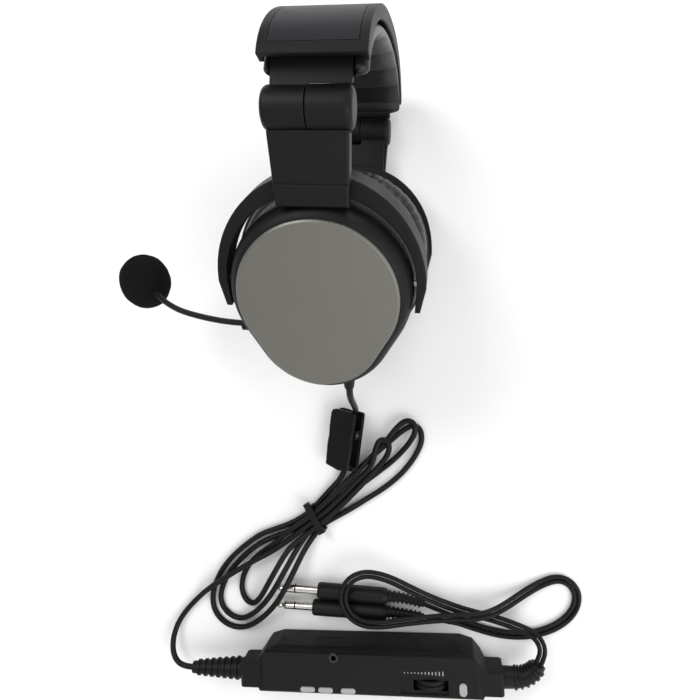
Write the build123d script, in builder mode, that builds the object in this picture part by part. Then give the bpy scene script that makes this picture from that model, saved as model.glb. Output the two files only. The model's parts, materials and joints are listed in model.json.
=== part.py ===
"""Aviation headset lying on its right side.

Two ear cups hang in yokes that fold on barrel hinges at the ends of a padded headband. The left cup
carries the boom microphone and the downlead, which runs through a clothes clip and a tied hank to a
battery control box. Two cords go on from the box to the headphone and microphone plugs.

Frame: origin at the centre of the right cup's outer plate, +X towards the wearer's back, +Y up along
the right arm, +Z from the right ear to the left ear. The right side is drawn straight in this frame.
The left side is its mirror image about the wearer's middle plane, which is tilted by CUP_TILT.
"""
import os
from math import asin, cos, hypot, pi, radians, sin, tan

from build123d import *

# ---- driving dimensions, millimetres and degrees
CUP_TILT = 15.0
MID_HEIGHT = 73.0

PLATE_TOP_R = 39.8
PLATE_TOP_Y = -3.3
PLATE_TIP_R = 31.0
PLATE_TIP_Y = -21.4
PLATE_DEPTH = 2.4
RIM_GROW = 5.7
HOUSING_DEPTH = 32.0
WALL = 2.5
CUSHION_GROW = 9.0
CUSHION_DEPTH = 26.0
PIVOT_DEPTH = 17.0

YOKE_HALF_W = 51.5
YOKE_ARM = 4.6
YOKE_LOW_Y = -13.0
YOKE_TOP_Y = 55.0
YOKE_NEAR = 10.0
YOKE_FAR = 24.0

HINGE_R = 9.3
HINGE_Y = 81.3
HINGE_HALF_L = 19.4
HINGE_PIN_R = 2.5
ARM_HALF_W = 17.9
ARM_FACE = 3.0
ARM_LOW_Y = 43.6
TAB_LOW_Y = 41.0
TAB_T = 2.4
ARM_STEP_Y = 51.4

RAIL_HALF_W = 17.2
RAIL_T = 3.0
RAIL_LEAN = 14.0
RAIL_LENGTH = 28.6

BAND_TOP = 112.7
BAND_HALF_T = 93.4
BAND_SPRING_V = 73.6
BAND_POWER = 2.18
BAND_HALF_W = 22.5
COVER_T = 2.6
SPRING_T = 1.0

PIVOT_SHAFT_R = 2.0
DRIVER_R = 18.0
DRIVER_Y = -8.0
EAR_HALF_W = 22.0
EAR_HALF_H = 31.0
ARM_BACK = YOKE_NEAR
KNUCKLE_GAP = 0.3
RAIL_OFFSET = 4.0
RAIL_SHIFT = 1.6
BAND_SHIFT = 3.2
COVER_START = 10.0
PANEL_START = 17.0
PANEL_HALF_W = 18.5
PANEL_T = 1.2
FLANGE_DEPTH = 6.2
PAD_TOP = 6.5
PAD_LOW = 15.0
PAD_START = 1.0
PAD_HALF_W = 22.0
SPRING_START = 36.0
SPRING_TOP = 4.4
SPRING_HALF_W = 14.0

CORD_D = 3.9
PLUG_CORD_D = 3.0
BOOM_D = 3.4
BOOM_COLLAR_R = 3.6
GLAND_R = 4.0
FOAM_R = 14.8
FOAM_HALF_L = 16.4

BOX_TURN = 5.5
BOX_HALF_L = 88.5
BOX_TOP = 27.5
BOX_SPLIT = 24.5
BOX_WALL = 2.0
CELL_R = 7.1
CELL_L = 50.0
CELL_PLACE = (-21.5, -1.0, 9.5)
WHEEL_R = 11.5
WHEEL_T = 2.8
WHEEL_PLACE = (41.3, -7.8)
WHEEL_STEP = 1.75
WHEEL_AXIS_Z = 16.8
JACK_BORE_R = 1.8
JACK_DEPTH = 14.0
JACK_PLACE = (-22.5, 9.0)
BUTTON_PLACES = {"left": (-41.1, -12.8), "middle": (-28.8, -12.9), "right": (-13.5, -12.9)}
BUTTON_SIZE = (10.0, 3.4)
POWER_PLACE = (62.2, -9.2)
POWER_SIZE = (8.6, 5.0)
DOOR_X = (-61.0, 26.0)
END_PLACE = (-6.5, 15.5)

PLUG_Z = 6.4
PLUG_BOOT_R = 5.6
RELIEF_L = 24.0
HEADPHONE_JOINT = (-15.4, -237.0)
HEADPHONE_TURN = 1.5
HEADPHONE_SHAFT_R = 6.35 / 2
HEADPHONE_SHAFT_L = 30.2
HEADPHONE_BOOT_L = 49.0
HEADPHONE_BEND = -16.0
MIC_JOINT = (-18.4, -249.3)
MIC_TURN = 2.5
MIC_SHAFT_R = 5.23 / 2
MIC_SHAFT_L = 27.0
MIC_BOOT_L = 52.0
MIC_BEND = -6.0

CLIP_TILT = 30.0
CLIP_TURN = -4.5
CLIP_HALF_W = 10.5
CLIP_HALF_L = 20.5

MID_PLANE = Plane(
    origin=(0, 0, MID_HEIGHT),
    x_dir=(1, 0, 0),
    z_dir=(0, -sin(radians(CUP_TILT)), cos(radians(CUP_TILT))),
)
BAND_PLANE = Plane(
    origin=(BAND_SHIFT, 0, MID_HEIGHT),
    x_dir=(0, cos(radians(CUP_TILT)), sin(radians(CUP_TILT))),
    z_dir=(1, 0, 0),
)
ACROSS = Plane.YZ
RAIL_DIR = (0, cos(radians(RAIL_LEAN + CUP_TILT)), sin(radians(RAIL_LEAN + CUP_TILT)))
RAIL_PLANE = Plane(
    origin=(RAIL_SHIFT, HINGE_Y + RAIL_OFFSET * RAIL_DIR[2], HINGE_R - RAIL_OFFSET * RAIL_DIR[1]),
    x_dir=(1, 0, 0),
    z_dir=RAIL_DIR,
)
BOOM_PLANE = Plane(origin=(-39.0, -25.2, 13.4), x_dir=(0, 1, 0), z_dir=(-1, 0, 0))
GLAND_PLANE = Plane(origin=(11.3, -55.5, 17.4), x_dir=(1, 0, 0), z_dir=(0, -1, 0))
BOX_PLANE = Plane(
    origin=(24, -279, 0),
    x_dir=(cos(radians(BOX_TURN)), sin(radians(BOX_TURN)), 0),
    z_dir=(0, 0, 1),
)
CLIP_X = (
    cos(radians(CLIP_TILT)) * cos(radians(CLIP_TURN)),
    cos(radians(CLIP_TILT)) * sin(radians(CLIP_TURN)),
    sin(radians(CLIP_TILT)),
)
CLIP_Z = (
    -sin(radians(CLIP_TILT)) * cos(radians(CLIP_TURN)),
    -sin(radians(CLIP_TILT)) * sin(radians(CLIP_TURN)),
    cos(radians(CLIP_TILT)),
)
CLIP_PLANE = Plane(origin=(1.5, -128.5, 5.6), x_dir=CLIP_X, z_dir=CLIP_Z)

# routes of the cords and the boom, point by point
BOOM_ROUTE = [
    (-43, -25.2, 13.4), (-51, -25.3, 13.9), (-62, -26, 17.4), (-73.5, -27.2, 22.8), (-84.5, -28.3, 29),
    (-93, -29, 35.4), (-101, -29, 42), (-107.5, -28.2, 48), (-113, -27, 53.2),
]
DROP_ROUTE = [
    (11.3, -84.1, 88.6), (11.2, -90.5, 84.9), (10.6, -95, 77), (10, -96.5, 66), (9.2, -97, 53),
    (8.3, -97, 40),
    (7.2, -97.5, 27), (5.9, -99, 17), (4.8, -102.3, 9.2), (3.9, -108.5, 4.5), (2.9, -117, 3.6),
    (1.7, -129, 3.5),
    (0.5, -140, 3.6), (-0.7, -149.5, 3.6), (-4.2, -158, 3.8), (-10.5, -165.5, 4.4),
]
TAIL_ROUTE = [
    (-89, -239, 4.6), (-95, -243.8, 3.6), (-102, -250.8, 2.6), (-110, -259.8, 2.2), (-116.5, -268.5, 2.6),
    (-120.5, -277.5, 4.5), (-121, -286.5, 8.5), (-117.5, -294.5, 13), (-109.5, -298.9, 15.8),
    (-101, -298, 16),
]
PAIR_ROUTE = [
    (134.8, -265.7, 15.5), (137.5, -259.2, 15.5), (136.3, -252.4, 14.4), (131.4, -247.6, 12.4),
    (123.6, -245.6, 10.4),
    (114, -243.6, 8.8), (104, -241.9, 8), (93, -240.5, 8), (81.5, -238.3, 8.2), (70.5, -234.8, 9.8),
    (59.5, -230.2, 13), (47.5, -224.6, 15.4), (37.5, -220.2, 16.5), (27.5, -217.6, 16.8),
    (16.3, -217.5, 16.8),
    (6.2, -224, 16.8), (3, -235.6, 16.8), (7.8, -246.8, 16.8), (18, -252.4, 16.7), (30.5, -251.6, 16.4),
    (43, -248.6, 15.8), (55.4, -245.8, 15.2), (68, -243.3, 14.8), (80, -241.4, 14.6), (91.5, -239.9, 14.6),
    (102.5, -237.2, 13), (113, -232.4, 8.6), (123.5, -225.8, 4), (134, -218.6, 2), (145.2, -212.7, 1.6),
    (154, -214.2, 1.6), (159.7, -221.1, 1.6), (159.7, -229.9, 1.6), (155.5, -238.2, 1.6),
    (148.3, -245.2, 1.6),
    (139.5, -250.2, 1.6), (129, -253.8, 1.6), (117, -255.3, 1.6), (104.5, -254.3, 1.7), (92.5, -251.8, 2.1),
    (82, -248.9, 3),
]
PAIR_HALF_GAP = 2.1
HEADPHONE_CORD_END = [(72.5, -243, 4.8), (64.6, -240.4, 6)]
MIC_CORD_END = [(74, -249.6, 4.6), (66.4, -247.9, 6)]


def save(piece, name):
    """Label a piece and write its STEP file."""
    piece.part.label = name
    export_step(piece.part, f"parts/{name}.step")


def save_both(piece, name):
    """Write a right-hand piece and its mirror image on the left."""
    save(piece, f"{name}_right")
    with BuildPart() as left:
        mirror(piece.part, about=MID_PLANE)
    save(left, f"{name}_left")


def save_left(piece, name):
    """Write only the mirror image of a piece drawn on the right."""
    with BuildPart() as left:
        mirror(piece.part, about=MID_PLANE)
    save(left, name)


# ---- ear cups, drawn on the right side
def cup_outline(grow):
    """Teardrop outline of the cup, grown outwards by grow."""
    top_r = PLATE_TOP_R + grow
    tip_r = PLATE_TIP_R + grow
    slope = asin((PLATE_TOP_R - PLATE_TIP_R) / (PLATE_TOP_Y - PLATE_TIP_Y))
    top_x = top_r * cos(slope)
    top_y = PLATE_TOP_Y - top_r * sin(slope)
    tip_x = tip_r * cos(slope)
    tip_y = PLATE_TIP_Y - tip_r * sin(slope)
    ThreePointArc((top_x, top_y), (0, PLATE_TOP_Y + top_r), (-top_x, top_y))
    Line((-top_x, top_y), (-tip_x, tip_y))
    ThreePointArc((-tip_x, tip_y), (0, PLATE_TIP_Y - tip_r), (tip_x, tip_y))
    Line((tip_x, tip_y), (top_x, top_y))


def make_face_plate():
    """Satin plate, flat outside, with a small bevel all round."""
    with BuildPart() as plate:
        with BuildSketch(Plane.XY):
            with BuildLine():
                cup_outline(0)
            make_face()
        extrude(amount=PLATE_DEPTH)
        chamfer(plate.edges().group_by(Axis.Z)[0], 0.8)
    return plate


def make_housing(boom, gland):
    """Bowl-shaped shell with pivot bosses, and holes for the boom and the cord on one side."""
    with BuildPart() as housing:
        for depth, grow in ((PLATE_DEPTH, 0.3), (5.0, 3.4), (8.5, 5.0), (13.0, RIM_GROW)):
            with BuildSketch(Plane.XY.offset(depth)):
                with BuildLine():
                    cup_outline(grow)
                make_face()
        loft()
        with BuildSketch(Plane.XY.offset(13.0)):
            with BuildLine():
                cup_outline(RIM_GROW)
            make_face()
        extrude(amount=HOUSING_DEPTH - 13.0)
        with BuildSketch(Plane.XY.offset(PLATE_DEPTH + WALL)):
            with BuildLine():
                cup_outline(-2.5)
            make_face()
        with BuildSketch(Plane.XY.offset(13.0)):
            with BuildLine():
                cup_outline(RIM_GROW - WALL)
            make_face()
        loft(mode=Mode.SUBTRACT)
        with BuildSketch(Plane.XY.offset(13.0)):
            with BuildLine():
                cup_outline(RIM_GROW - WALL)
            make_face()
        extrude(amount=HOUSING_DEPTH, mode=Mode.SUBTRACT)
        for side in (-1, 1):
            boss_x = PLATE_TOP_R + RIM_GROW - WALL - 2.0
            with BuildSketch(Plane((side * boss_x, 0, PIVOT_DEPTH), x_dir=(0, 1, 0), z_dir=(side, 0, 0))):
                Circle(4.5)
            extrude(amount=3.0)
            with BuildSketch(Plane((side * 38.0, 0, PIVOT_DEPTH), x_dir=(0, 1, 0), z_dir=(side, 0, 0))):
                Circle(PIVOT_SHAFT_R)
            extrude(amount=12.0, mode=Mode.SUBTRACT)
        if boom:
            with BuildSketch(BOOM_PLANE):
                Circle(BOOM_COLLAR_R + 0.3)
            extrude(amount=9.0, both=True, mode=Mode.SUBTRACT)
        if gland:
            with BuildSketch(GLAND_PLANE):
                Circle(GLAND_R + 0.1)
            extrude(amount=5.0, both=True, mode=Mode.SUBTRACT)
    return housing


def make_baffle():
    """Inner plate that carries the driver and closes the cup, with a ring of sound slots."""
    with BuildPart() as baffle:
        with BuildSketch(Plane.XY.offset(HOUSING_DEPTH - 3.0)):
            with BuildLine():
                cup_outline(RIM_GROW - WALL - 0.1)
            make_face()
            with Locations((0, DRIVER_Y)):
                Circle(DRIVER_R - 3.0, mode=Mode.SUBTRACT)
        extrude(amount=3.0)
        with BuildSketch(Plane.XY.offset(HOUSING_DEPTH - 1.6)):
            with Locations((0, DRIVER_Y)):
                Circle(DRIVER_R - 3.0)
                with PolarLocations(11.0, 10):
                    SlotOverall(9.0, 2.4, mode=Mode.SUBTRACT)
                with PolarLocations(4.5, 5):
                    Circle(1.2, mode=Mode.SUBTRACT)
        extrude(amount=1.6)
    return baffle


def make_driver():
    """Loudspeaker: basket, magnet cup and domed front."""
    with BuildPart() as driver:
        with BuildSketch(Plane.XY.offset(HOUSING_DEPTH - 6.2)):
            with Locations((0, DRIVER_Y)):
                Circle(DRIVER_R)
        extrude(amount=3.1)
        with BuildSketch(Plane.XY.offset(HOUSING_DEPTH - 10.0)):
            with Locations((0, DRIVER_Y)):
                Circle(DRIVER_R * 0.72)
        extrude(amount=3.8)
        with BuildSketch(Plane.XY.offset(HOUSING_DEPTH - 14.0)):
            with Locations((0, DRIVER_Y)):
                Circle(DRIVER_R * 0.5)
        extrude(amount=4.0)
    return driver


def make_noise_board():
    """Noise-cancelling circuit board with its chips and outside microphone."""
    with BuildPart() as board:
        with BuildSketch(Plane.XY.offset(9.6)):
            with Locations((0, -8)):
                RectangleRounded(46, 34, 3)
        extrude(amount=1.6)
        with BuildSketch(Plane.XY.offset(11.2)):
            with Locations((-13, -2), (12, -15)):
                Rectangle(8, 8)
            with Locations((12, 2)):
                Rectangle(11, 5)
            with Locations((-14, -18)):
                Circle(3)
        extrude(amount=1.8)
    return board


def make_cushion():
    """Plain ring of the ear seal, with an oval opening for the ear."""
    with BuildPart() as cushion:
        low = HOUSING_DEPTH + 0.4
        with BuildSketch(Plane.XY.offset(low)):
            with BuildLine():
                cup_outline(CUSHION_GROW)
            make_face()
        extrude(amount=CUSHION_DEPTH)
        fillet(cushion.edges().group_by(Axis.Z)[0], 5.0)
        fillet(cushion.edges().group_by(Axis.Z)[-1], 10.0)
        with BuildSketch(Plane.XY.offset(low)):
            with Locations((0, -9)):
                Ellipse(EAR_HALF_W, EAR_HALF_H)
        extrude(amount=CUSHION_DEPTH, mode=Mode.SUBTRACT)
    return cushion


# ---- yokes, arms and hinges, drawn on the right side
def hinge_section(radius):
    """Circle of the barrel hinge, in the plane across the barrel."""
    with Locations((HINGE_Y, HINGE_R)):
        Circle(radius)


def make_rear_knuckle():
    """Rear half of the barrel hinge, rounded at its outer end."""
    with BuildPart() as knuckle:
        with BuildSketch(ACROSS.offset(KNUCKLE_GAP)):
            hinge_section(HINGE_R)
        extrude(amount=HINGE_HALF_L - KNUCKLE_GAP)
        fillet(knuckle.faces().sort_by(Axis.X)[-1].edges(), 3.0)
    return knuckle.part


def make_yoke():
    """Curved yoke with its pivot ends, the stem up to the hinge and the rear knuckle."""
    inner_w = YOKE_HALF_W - YOKE_ARM
    with BuildPart() as yoke:
        with BuildSketch(Plane.XY.offset(YOKE_NEAR)):
            with BuildLine():
                Line((YOKE_HALF_W, 0), (YOKE_HALF_W - 2.6, YOKE_LOW_Y))
                Line((YOKE_HALF_W - 2.6, YOKE_LOW_Y), (YOKE_HALF_W - 5.2, YOKE_LOW_Y))
                Line((YOKE_HALF_W - 5.2, YOKE_LOW_Y), (inner_w, 0))
                EllipticalCenterArc((0, 0), inner_w, YOKE_TOP_Y - 9.0, start_angle=0, arc_size=180)
                Line((-inner_w, 0), (-YOKE_HALF_W + 5.2, YOKE_LOW_Y))
                Line((-YOKE_HALF_W + 5.2, YOKE_LOW_Y), (-YOKE_HALF_W + 2.6, YOKE_LOW_Y))
                Line((-YOKE_HALF_W + 2.6, YOKE_LOW_Y), (-YOKE_HALF_W, 0))
                EllipticalCenterArc((0, 0), YOKE_HALF_W, YOKE_TOP_Y, start_angle=0, arc_size=180)
            make_face()
        extrude(amount=YOKE_FAR - YOKE_NEAR)
        with BuildSketch(Plane.XY.offset(ARM_BACK)):
            with Locations((0, 60.0)):
                Rectangle(2 * (ARM_HALF_W - 1.5), 22.4)
        extrude(amount=5.0)
        add(make_rear_knuckle())
        with BuildSketch(Plane.XY.offset(ARM_BACK)):
            with Locations(((HINGE_HALF_L - 3.0) / 2 + KNUCKLE_GAP, 73.0)):
                Rectangle(HINGE_HALF_L - 4.0, 8.0)
        extrude(amount=5.0)
        with BuildSketch(ACROSS.offset(-HINGE_HALF_L)):
            hinge_section(HINGE_R + 0.5)
        extrude(amount=HINGE_HALF_L + KNUCKLE_GAP - 0.1, mode=Mode.SUBTRACT)
        with BuildSketch(ACROSS):
            hinge_section(HINGE_PIN_R)
        extrude(amount=HINGE_HALF_L - 2.0, both=True, mode=Mode.SUBTRACT)
        for side in (-1, 1):
            with BuildSketch(Plane((side * 40.0, 0, PIVOT_DEPTH), x_dir=(0, 1, 0), z_dir=(side, 0, 0))):
                Circle(PIVOT_SHAFT_R + 0.3)
            extrude(amount=14.0, mode=Mode.SUBTRACT)
    return yoke


def make_arm_cover():
    """Flat outer cover of the arm, with a thin tab that laps over the yoke, up to the hinge."""
    with BuildPart() as cover:
        for start, depth, low in (
            (ARM_FACE, TAB_T, TAB_LOW_Y), (ARM_FACE + TAB_T, ARM_BACK - ARM_FACE - TAB_T - 0.05, ARM_LOW_Y)
        ):
            with BuildSketch(Plane.XY.offset(start)):
                with BuildLine():
                    Polyline(
                        (-ARM_HALF_W + 1.2, low), (ARM_HALF_W - 1.2, low),
                        (ARM_HALF_W, 77), (-ARM_HALF_W, 77), close=True,
                    )
                make_face()
            extrude(amount=depth)
        fillet(cover.edges().group_by(Axis.Z)[0], 1.2)
        with BuildSketch(ACROSS):
            hinge_section(HINGE_R + 0.4)
        extrude(amount=ARM_HALF_W + 2.0, both=True, mode=Mode.SUBTRACT)
        with BuildSketch(Plane.XY.offset(ARM_FACE)):
            with Locations((0, ARM_STEP_Y)):
                Rectangle(2 * ARM_HALF_W + 2.0, 0.7)
        extrude(amount=0.5, mode=Mode.SUBTRACT)
    return cover


def make_pivot_screws():
    """The two shoulder screws on which the cup tilts in its yoke."""
    with BuildPart() as screws:
        for side in (-1, 1):
            start = PLATE_TOP_R + RIM_GROW - WALL - 1.9
            with BuildSketch(Plane((side * start, 0, PIVOT_DEPTH), x_dir=(0, 1, 0), z_dir=(side, 0, 0))):
                Circle(PIVOT_SHAFT_R)
            extrude(amount=YOKE_HALF_W - start - 0.6)
    return screws


def make_hinge_pin():
    """Steel pin of the fold hinge."""
    with BuildPart() as pin:
        with BuildSketch(ACROSS):
            hinge_section(HINGE_PIN_R)
        extrude(amount=HINGE_HALF_L - 2.0, both=True)
    return pin


def make_slider_rail():
    """Front knuckle and the flat rail that slides in the end of the headband."""
    with BuildPart() as rail:
        with BuildSketch(ACROSS.offset(-HINGE_HALF_L)):
            hinge_section(HINGE_R)
        extrude(amount=HINGE_HALF_L - KNUCKLE_GAP)
        fillet(rail.faces().sort_by(Axis.X)[0].edges(), 3.0)
        with BuildSketch(RAIL_PLANE):
            Rectangle(2 * RAIL_HALF_W, RAIL_T)
        extrude(amount=RAIL_LENGTH)
        with BuildSketch(ACROSS.offset(KNUCKLE_GAP)):
            hinge_section(HINGE_R + 0.3)
        extrude(amount=HINGE_HALF_L + 2.0, mode=Mode.SUBTRACT)
        with BuildSketch(ACROSS.offset(-HINGE_HALF_L + 2.0 - 0.1)):
            hinge_section(HINGE_PIN_R + 0.15)
        extrude(amount=HINGE_HALF_L, mode=Mode.SUBTRACT)
    return rail


# ---- headband, drawn in the tilted middle frame
def band_point(angle, inward):
    """Point of the band's arch at an angle from its right end, set in by a distance."""
    reach = radians(angle)
    power = 2 / BAND_POWER
    across = BAND_HALF_T * abs(cos(reach)) ** power
    rise = (BAND_TOP - BAND_SPRING_V) * sin(reach) ** power
    normal_t = (across / BAND_HALF_T) ** (BAND_POWER - 1) / BAND_HALF_T
    normal_v = (rise / (BAND_TOP - BAND_SPRING_V)) ** (BAND_POWER - 1) / (BAND_TOP - BAND_SPRING_V)
    size = hypot(normal_t, normal_v)
    side = -1 if angle < 90 else 1
    v = BAND_SPRING_V + rise - inward * normal_v / size
    t = side * (across - inward * normal_t / size)
    return v, t


def band_layer(start, outer, inner):
    """Outline of one layer of the arch between two depths, from a start angle to its mirror."""
    angles = [start + (180 - 2 * start) * i / 16 for i in range(17)]
    outside = [band_point(a, outer) for a in angles]
    inside = [band_point(a, inner) for a in angles]
    Spline(*outside)
    Line(outside[-1], inside[-1])
    Spline(*reversed(inside))
    Line(inside[0], outside[0])


def make_band_layer(start, outer, inner, half_width):
    """One layer of the headband as a solid."""
    with BuildPart() as layer:
        with BuildSketch(BAND_PLANE):
            with BuildLine():
                band_layer(start, outer, inner)
            make_face()
        extrude(amount=half_width, both=True)
    return layer


def make_headband_cover():
    """Moulded outer shell, recessed for the centre panel."""
    with BuildPart() as cover:
        with BuildSketch(BAND_PLANE):
            with BuildLine():
                band_layer(COVER_START, 0, FLANGE_DEPTH)
            make_face()
        extrude(amount=BAND_HALF_W, both=True)
        with BuildSketch(BAND_PLANE):
            with BuildLine():
                band_layer(COVER_START - 3.0, COVER_T, FLANGE_DEPTH + 1.0)
            make_face()
        extrude(amount=BAND_HALF_W - 2.0, both=True, mode=Mode.SUBTRACT)
        with BuildSketch(BAND_PLANE):
            with BuildLine():
                band_layer(PANEL_START - 0.4, -1.0, PANEL_T + 0.05)
            make_face()
        extrude(amount=PANEL_HALF_W + 0.3, both=True, mode=Mode.SUBTRACT)
    return cover


def make_headband_pad():
    """Padding under the shell, with slots at its ends where the rails slide."""
    with BuildPart() as pad:
        with BuildSketch(BAND_PLANE):
            with BuildLine():
                band_layer(PAD_START, PAD_TOP, PAD_LOW)
            make_face()
        extrude(amount=PAD_HALF_W, both=True)
        with BuildSketch(RAIL_PLANE.offset(-8.0)):
            with Locations((0, 5.0 - RAIL_T / 2 - 0.6)):
                Rectangle(2 * RAIL_HALF_W + 1.2, 10.0)
        extrude(amount=RAIL_LENGTH + 10.0, mode=Mode.SUBTRACT)
        mirror(about=MID_PLANE, mode=Mode.INTERSECT)
    return pad


# ---- boom microphone, drawn on the right side and mirrored to the left
def make_boom_collar():
    """Collar in which the boom turns."""
    with BuildPart() as collar:
        with BuildSketch(BOOM_PLANE):
            Circle(BOOM_COLLAR_R)
        extrude(amount=4.0)
        with BuildSketch(BOOM_PLANE.offset(-3.0)):
            Circle(BOOM_COLLAR_R)
        extrude(amount=3.0)
    return collar


def sweep_tube(route, diameter, radii):
    """Round tube along straight runs joined by tangent arcs."""
    with BuildPart() as tube:
        with BuildLine() as path:
            FilletPolyline(*route, radius=radii)
        with BuildSketch(Plane(origin=path.line @ 0, z_dir=path.line % 0)):
            Circle(diameter / 2)
        sweep()
    return tube


def beside(route, shift):
    """The same route moved level to its right by shift."""
    moved = []
    for i, point in enumerate(route):
        before = route[max(i - 1, 0)]
        after = route[min(i + 1, len(route) - 1)]
        run_x = after[0] - before[0]
        run_y = after[1] - before[1]
        run = hypot(run_x, run_y)
        moved.append((point[0] + shift * run_y / run, point[1] - shift * run_x / run, point[2]))
    return moved


def arc_radii(route):
    """Largest arc for each corner of a route that its two runs allow."""
    radii = []
    for a, b, c in zip(route, route[1:], route[2:]):
        before = Vector(b) - Vector(a)
        after = Vector(c) - Vector(b)
        turn = radians(before.get_angle(after))
        radii.append(0.45 * min(before.length, after.length) / tan(turn / 2))
    return radii


def make_cord(name, route, diameter):
    """One cord tube, with its arc radii and its volume test printed."""
    radii = arc_radii(route)
    tube = sweep_tube(route, diameter, radii)
    length = tube.part.volume / (pi * diameter ** 2 / 4)
    print(name, "radii", [round(r) for r in radii], "length", round(length))
    save(tube, name)


def make_boom():
    """Flexible boom, from its collar to the microphone."""
    return sweep_tube(BOOM_ROUTE, BOOM_D, arc_radii(BOOM_ROUTE))


def mic_direction():
    """Direction in which the boom enters the microphone."""
    return (Vector(*BOOM_ROUTE[-1]) - Vector(*BOOM_ROUTE[-2])).normalized()


def foam_plane():
    """Centre plane of the windscreen, its long axis along the wearer's face."""
    centre = Vector(*BOOM_ROUTE[-1]) + mic_direction() * 8.2
    return Plane(origin=centre, x_dir=(0.3, 0, 0.95), z_dir=(-0.1, 0.99, 0.03))


def make_mic_housing():
    """Small microphone body with the socket that holds the end of the boom."""
    with BuildPart() as body:
        with BuildSketch(foam_plane().offset(-9.0)):
            RectangleRounded(9, 8, 2)
        extrude(amount=18.0)
        with BuildSketch(Plane(origin=BOOM_ROUTE[-1], z_dir=mic_direction())):
            Circle(BOOM_D / 2 + 0.8)
        extrude(amount=6.0)
    return body


def make_windscreen():
    """Egg-shaped foam cover, hollow for the microphone and open where the boom goes in."""
    centre = foam_plane()
    profile = Plane(origin=centre.origin, x_dir=centre.z_dir, z_dir=centre.x_dir)
    with BuildPart() as foam:
        with BuildSketch(profile):
            with BuildLine():
                for first, span in ((0, 30), (30, 120), (150, 30)):
                    EllipticalCenterArc((0, 0), FOAM_HALF_L, FOAM_R, start_angle=first, arc_size=span)
                Line((-FOAM_HALF_L, 0), (FOAM_HALF_L, 0))
            make_face()
        revolve(axis=Axis(profile.origin, profile.x_dir))
        with BuildSketch(centre.offset(-9.3)):
            RectangleRounded(9.6, 8.6, 2.3)
        extrude(amount=18.6, mode=Mode.SUBTRACT)
        start = Vector(*BOOM_ROUTE[-1]) - mic_direction() * 14.0
        with BuildSketch(Plane(origin=start, z_dir=mic_direction())):
            Circle(BOOM_D / 2 + 1.1)
        extrude(amount=20.3, mode=Mode.SUBTRACT)
    return foam


def make_gland():
    """Tapered strain relief where the downlead leaves the left cup."""
    with BuildPart() as gland:
        with BuildSketch(GLAND_PLANE.offset(-4.0)):
            Circle(GLAND_R)
        extrude(amount=6.0)
        with BuildSketch(GLAND_PLANE.offset(2.0)):
            Circle(GLAND_R - 0.3)
        with BuildSketch(GLAND_PLANE.offset(9.5)):
            Circle(CORD_D / 2 + 0.7)
        loft()
    return gland


# ---- clothes clip, in its own tilted frame
def make_clip_base():
    """Lower jaw with the side cheeks for the pin and the ring round the cord."""
    with BuildPart() as base:
        with BuildSketch(CLIP_PLANE):
            RectangleRounded(2 * CLIP_HALF_W, 2 * CLIP_HALF_L, 2)
        extrude(amount=2.4)
        with BuildSketch(CLIP_PLANE.offset(2.4)):
            with Locations((-CLIP_HALF_W + 1.0, 5), (CLIP_HALF_W - 1.0, 5)):
                Rectangle(2.0, 6)
        extrude(amount=5.4)
        with BuildSketch(CLIP_PLANE.offset(2.4)):
            with Locations((0, -CLIP_HALF_L + 1.6)):
                Rectangle(2 * CLIP_HALF_W - 1.0, 2.6)
        extrude(amount=3.0)
        ring = Plane(origin=(2.2, -123.5, 3.6), z_dir=(-0.1, -0.995, 0))
        with BuildSketch(ring.offset(-25.0)):
            Circle(CORD_D / 2 + 1.7)
        extrude(amount=60.0, mode=Mode.SUBTRACT)
        with BuildSketch(ring):
            Circle(3.6)
            Circle(CORD_D / 2 + 0.5, mode=Mode.SUBTRACT)
        extrude(amount=10.0)
        with BuildSketch(clip_pin_plane()):
            Circle(1.5)
        extrude(amount=CLIP_HALF_W + 1.0, both=True, mode=Mode.SUBTRACT)
    return base


def clip_pin_plane():
    """Plane across the clip, centred on its pin."""
    pin = CLIP_PLANE.offset(5.6)
    return Plane(origin=pin.from_local_coords((0, 5, 0)), x_dir=CLIP_PLANE.y_dir, z_dir=CLIP_PLANE.x_dir)


def make_clip_jaw():
    """Upper jaw: the broad pressed face, its inner cheeks and the gripping nose."""
    with BuildPart() as jaw:
        with BuildSketch(CLIP_PLANE.offset(9.2)):
            with BuildLine():
                Polyline(
                    (-10.2, 17.0), (-9.3, 19.6), (-6.8, 20.5), (6.8, 20.5), (9.3, 19.6), (10.2, 17.0),
                    (10.2, 8), (9.7, 2), (10.2, -4),
                    (9.4, -19.0), (2.0, -20.5), (-9.4, -18.6), (-10.2, -4), (-9.7, 2), (-10.2, 8),
                    close=True,
                )
            make_face()
        extrude(amount=2.4)
        fillet(jaw.faces().sort_by(Axis(CLIP_PLANE.origin, CLIP_PLANE.z_dir))[-1].edges(), 0.8)
        with BuildSketch(CLIP_PLANE.offset(11.2)):
            with Locations((0, 6.5), (0, 9.5)):
                Rectangle(2 * CLIP_HALF_W, 0.7)
        extrude(amount=1.0, mode=Mode.SUBTRACT)
        with BuildSketch(CLIP_PLANE.offset(3.4)):
            with Locations((-CLIP_HALF_W + 3.3, 5), (CLIP_HALF_W - 3.3, 5)):
                Rectangle(1.6, 5)
        extrude(amount=5.9)
        with BuildSketch(CLIP_PLANE.offset(5.6)):
            with Locations((0, -CLIP_HALF_L + 3.2)):
                Rectangle(2 * CLIP_HALF_W - 4.0, 2.4)
        extrude(amount=3.8)
        with BuildSketch(clip_pin_plane()):
            Circle(1.8)
        extrude(amount=CLIP_HALF_W, both=True, mode=Mode.SUBTRACT)
    return jaw


def make_clip_pin():
    """Steel pin of the clip."""
    with BuildPart() as pin:
        with BuildSketch(clip_pin_plane()):
            Circle(1.5)
        extrude(amount=CLIP_HALF_W - 0.2, both=True)
    return pin


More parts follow.
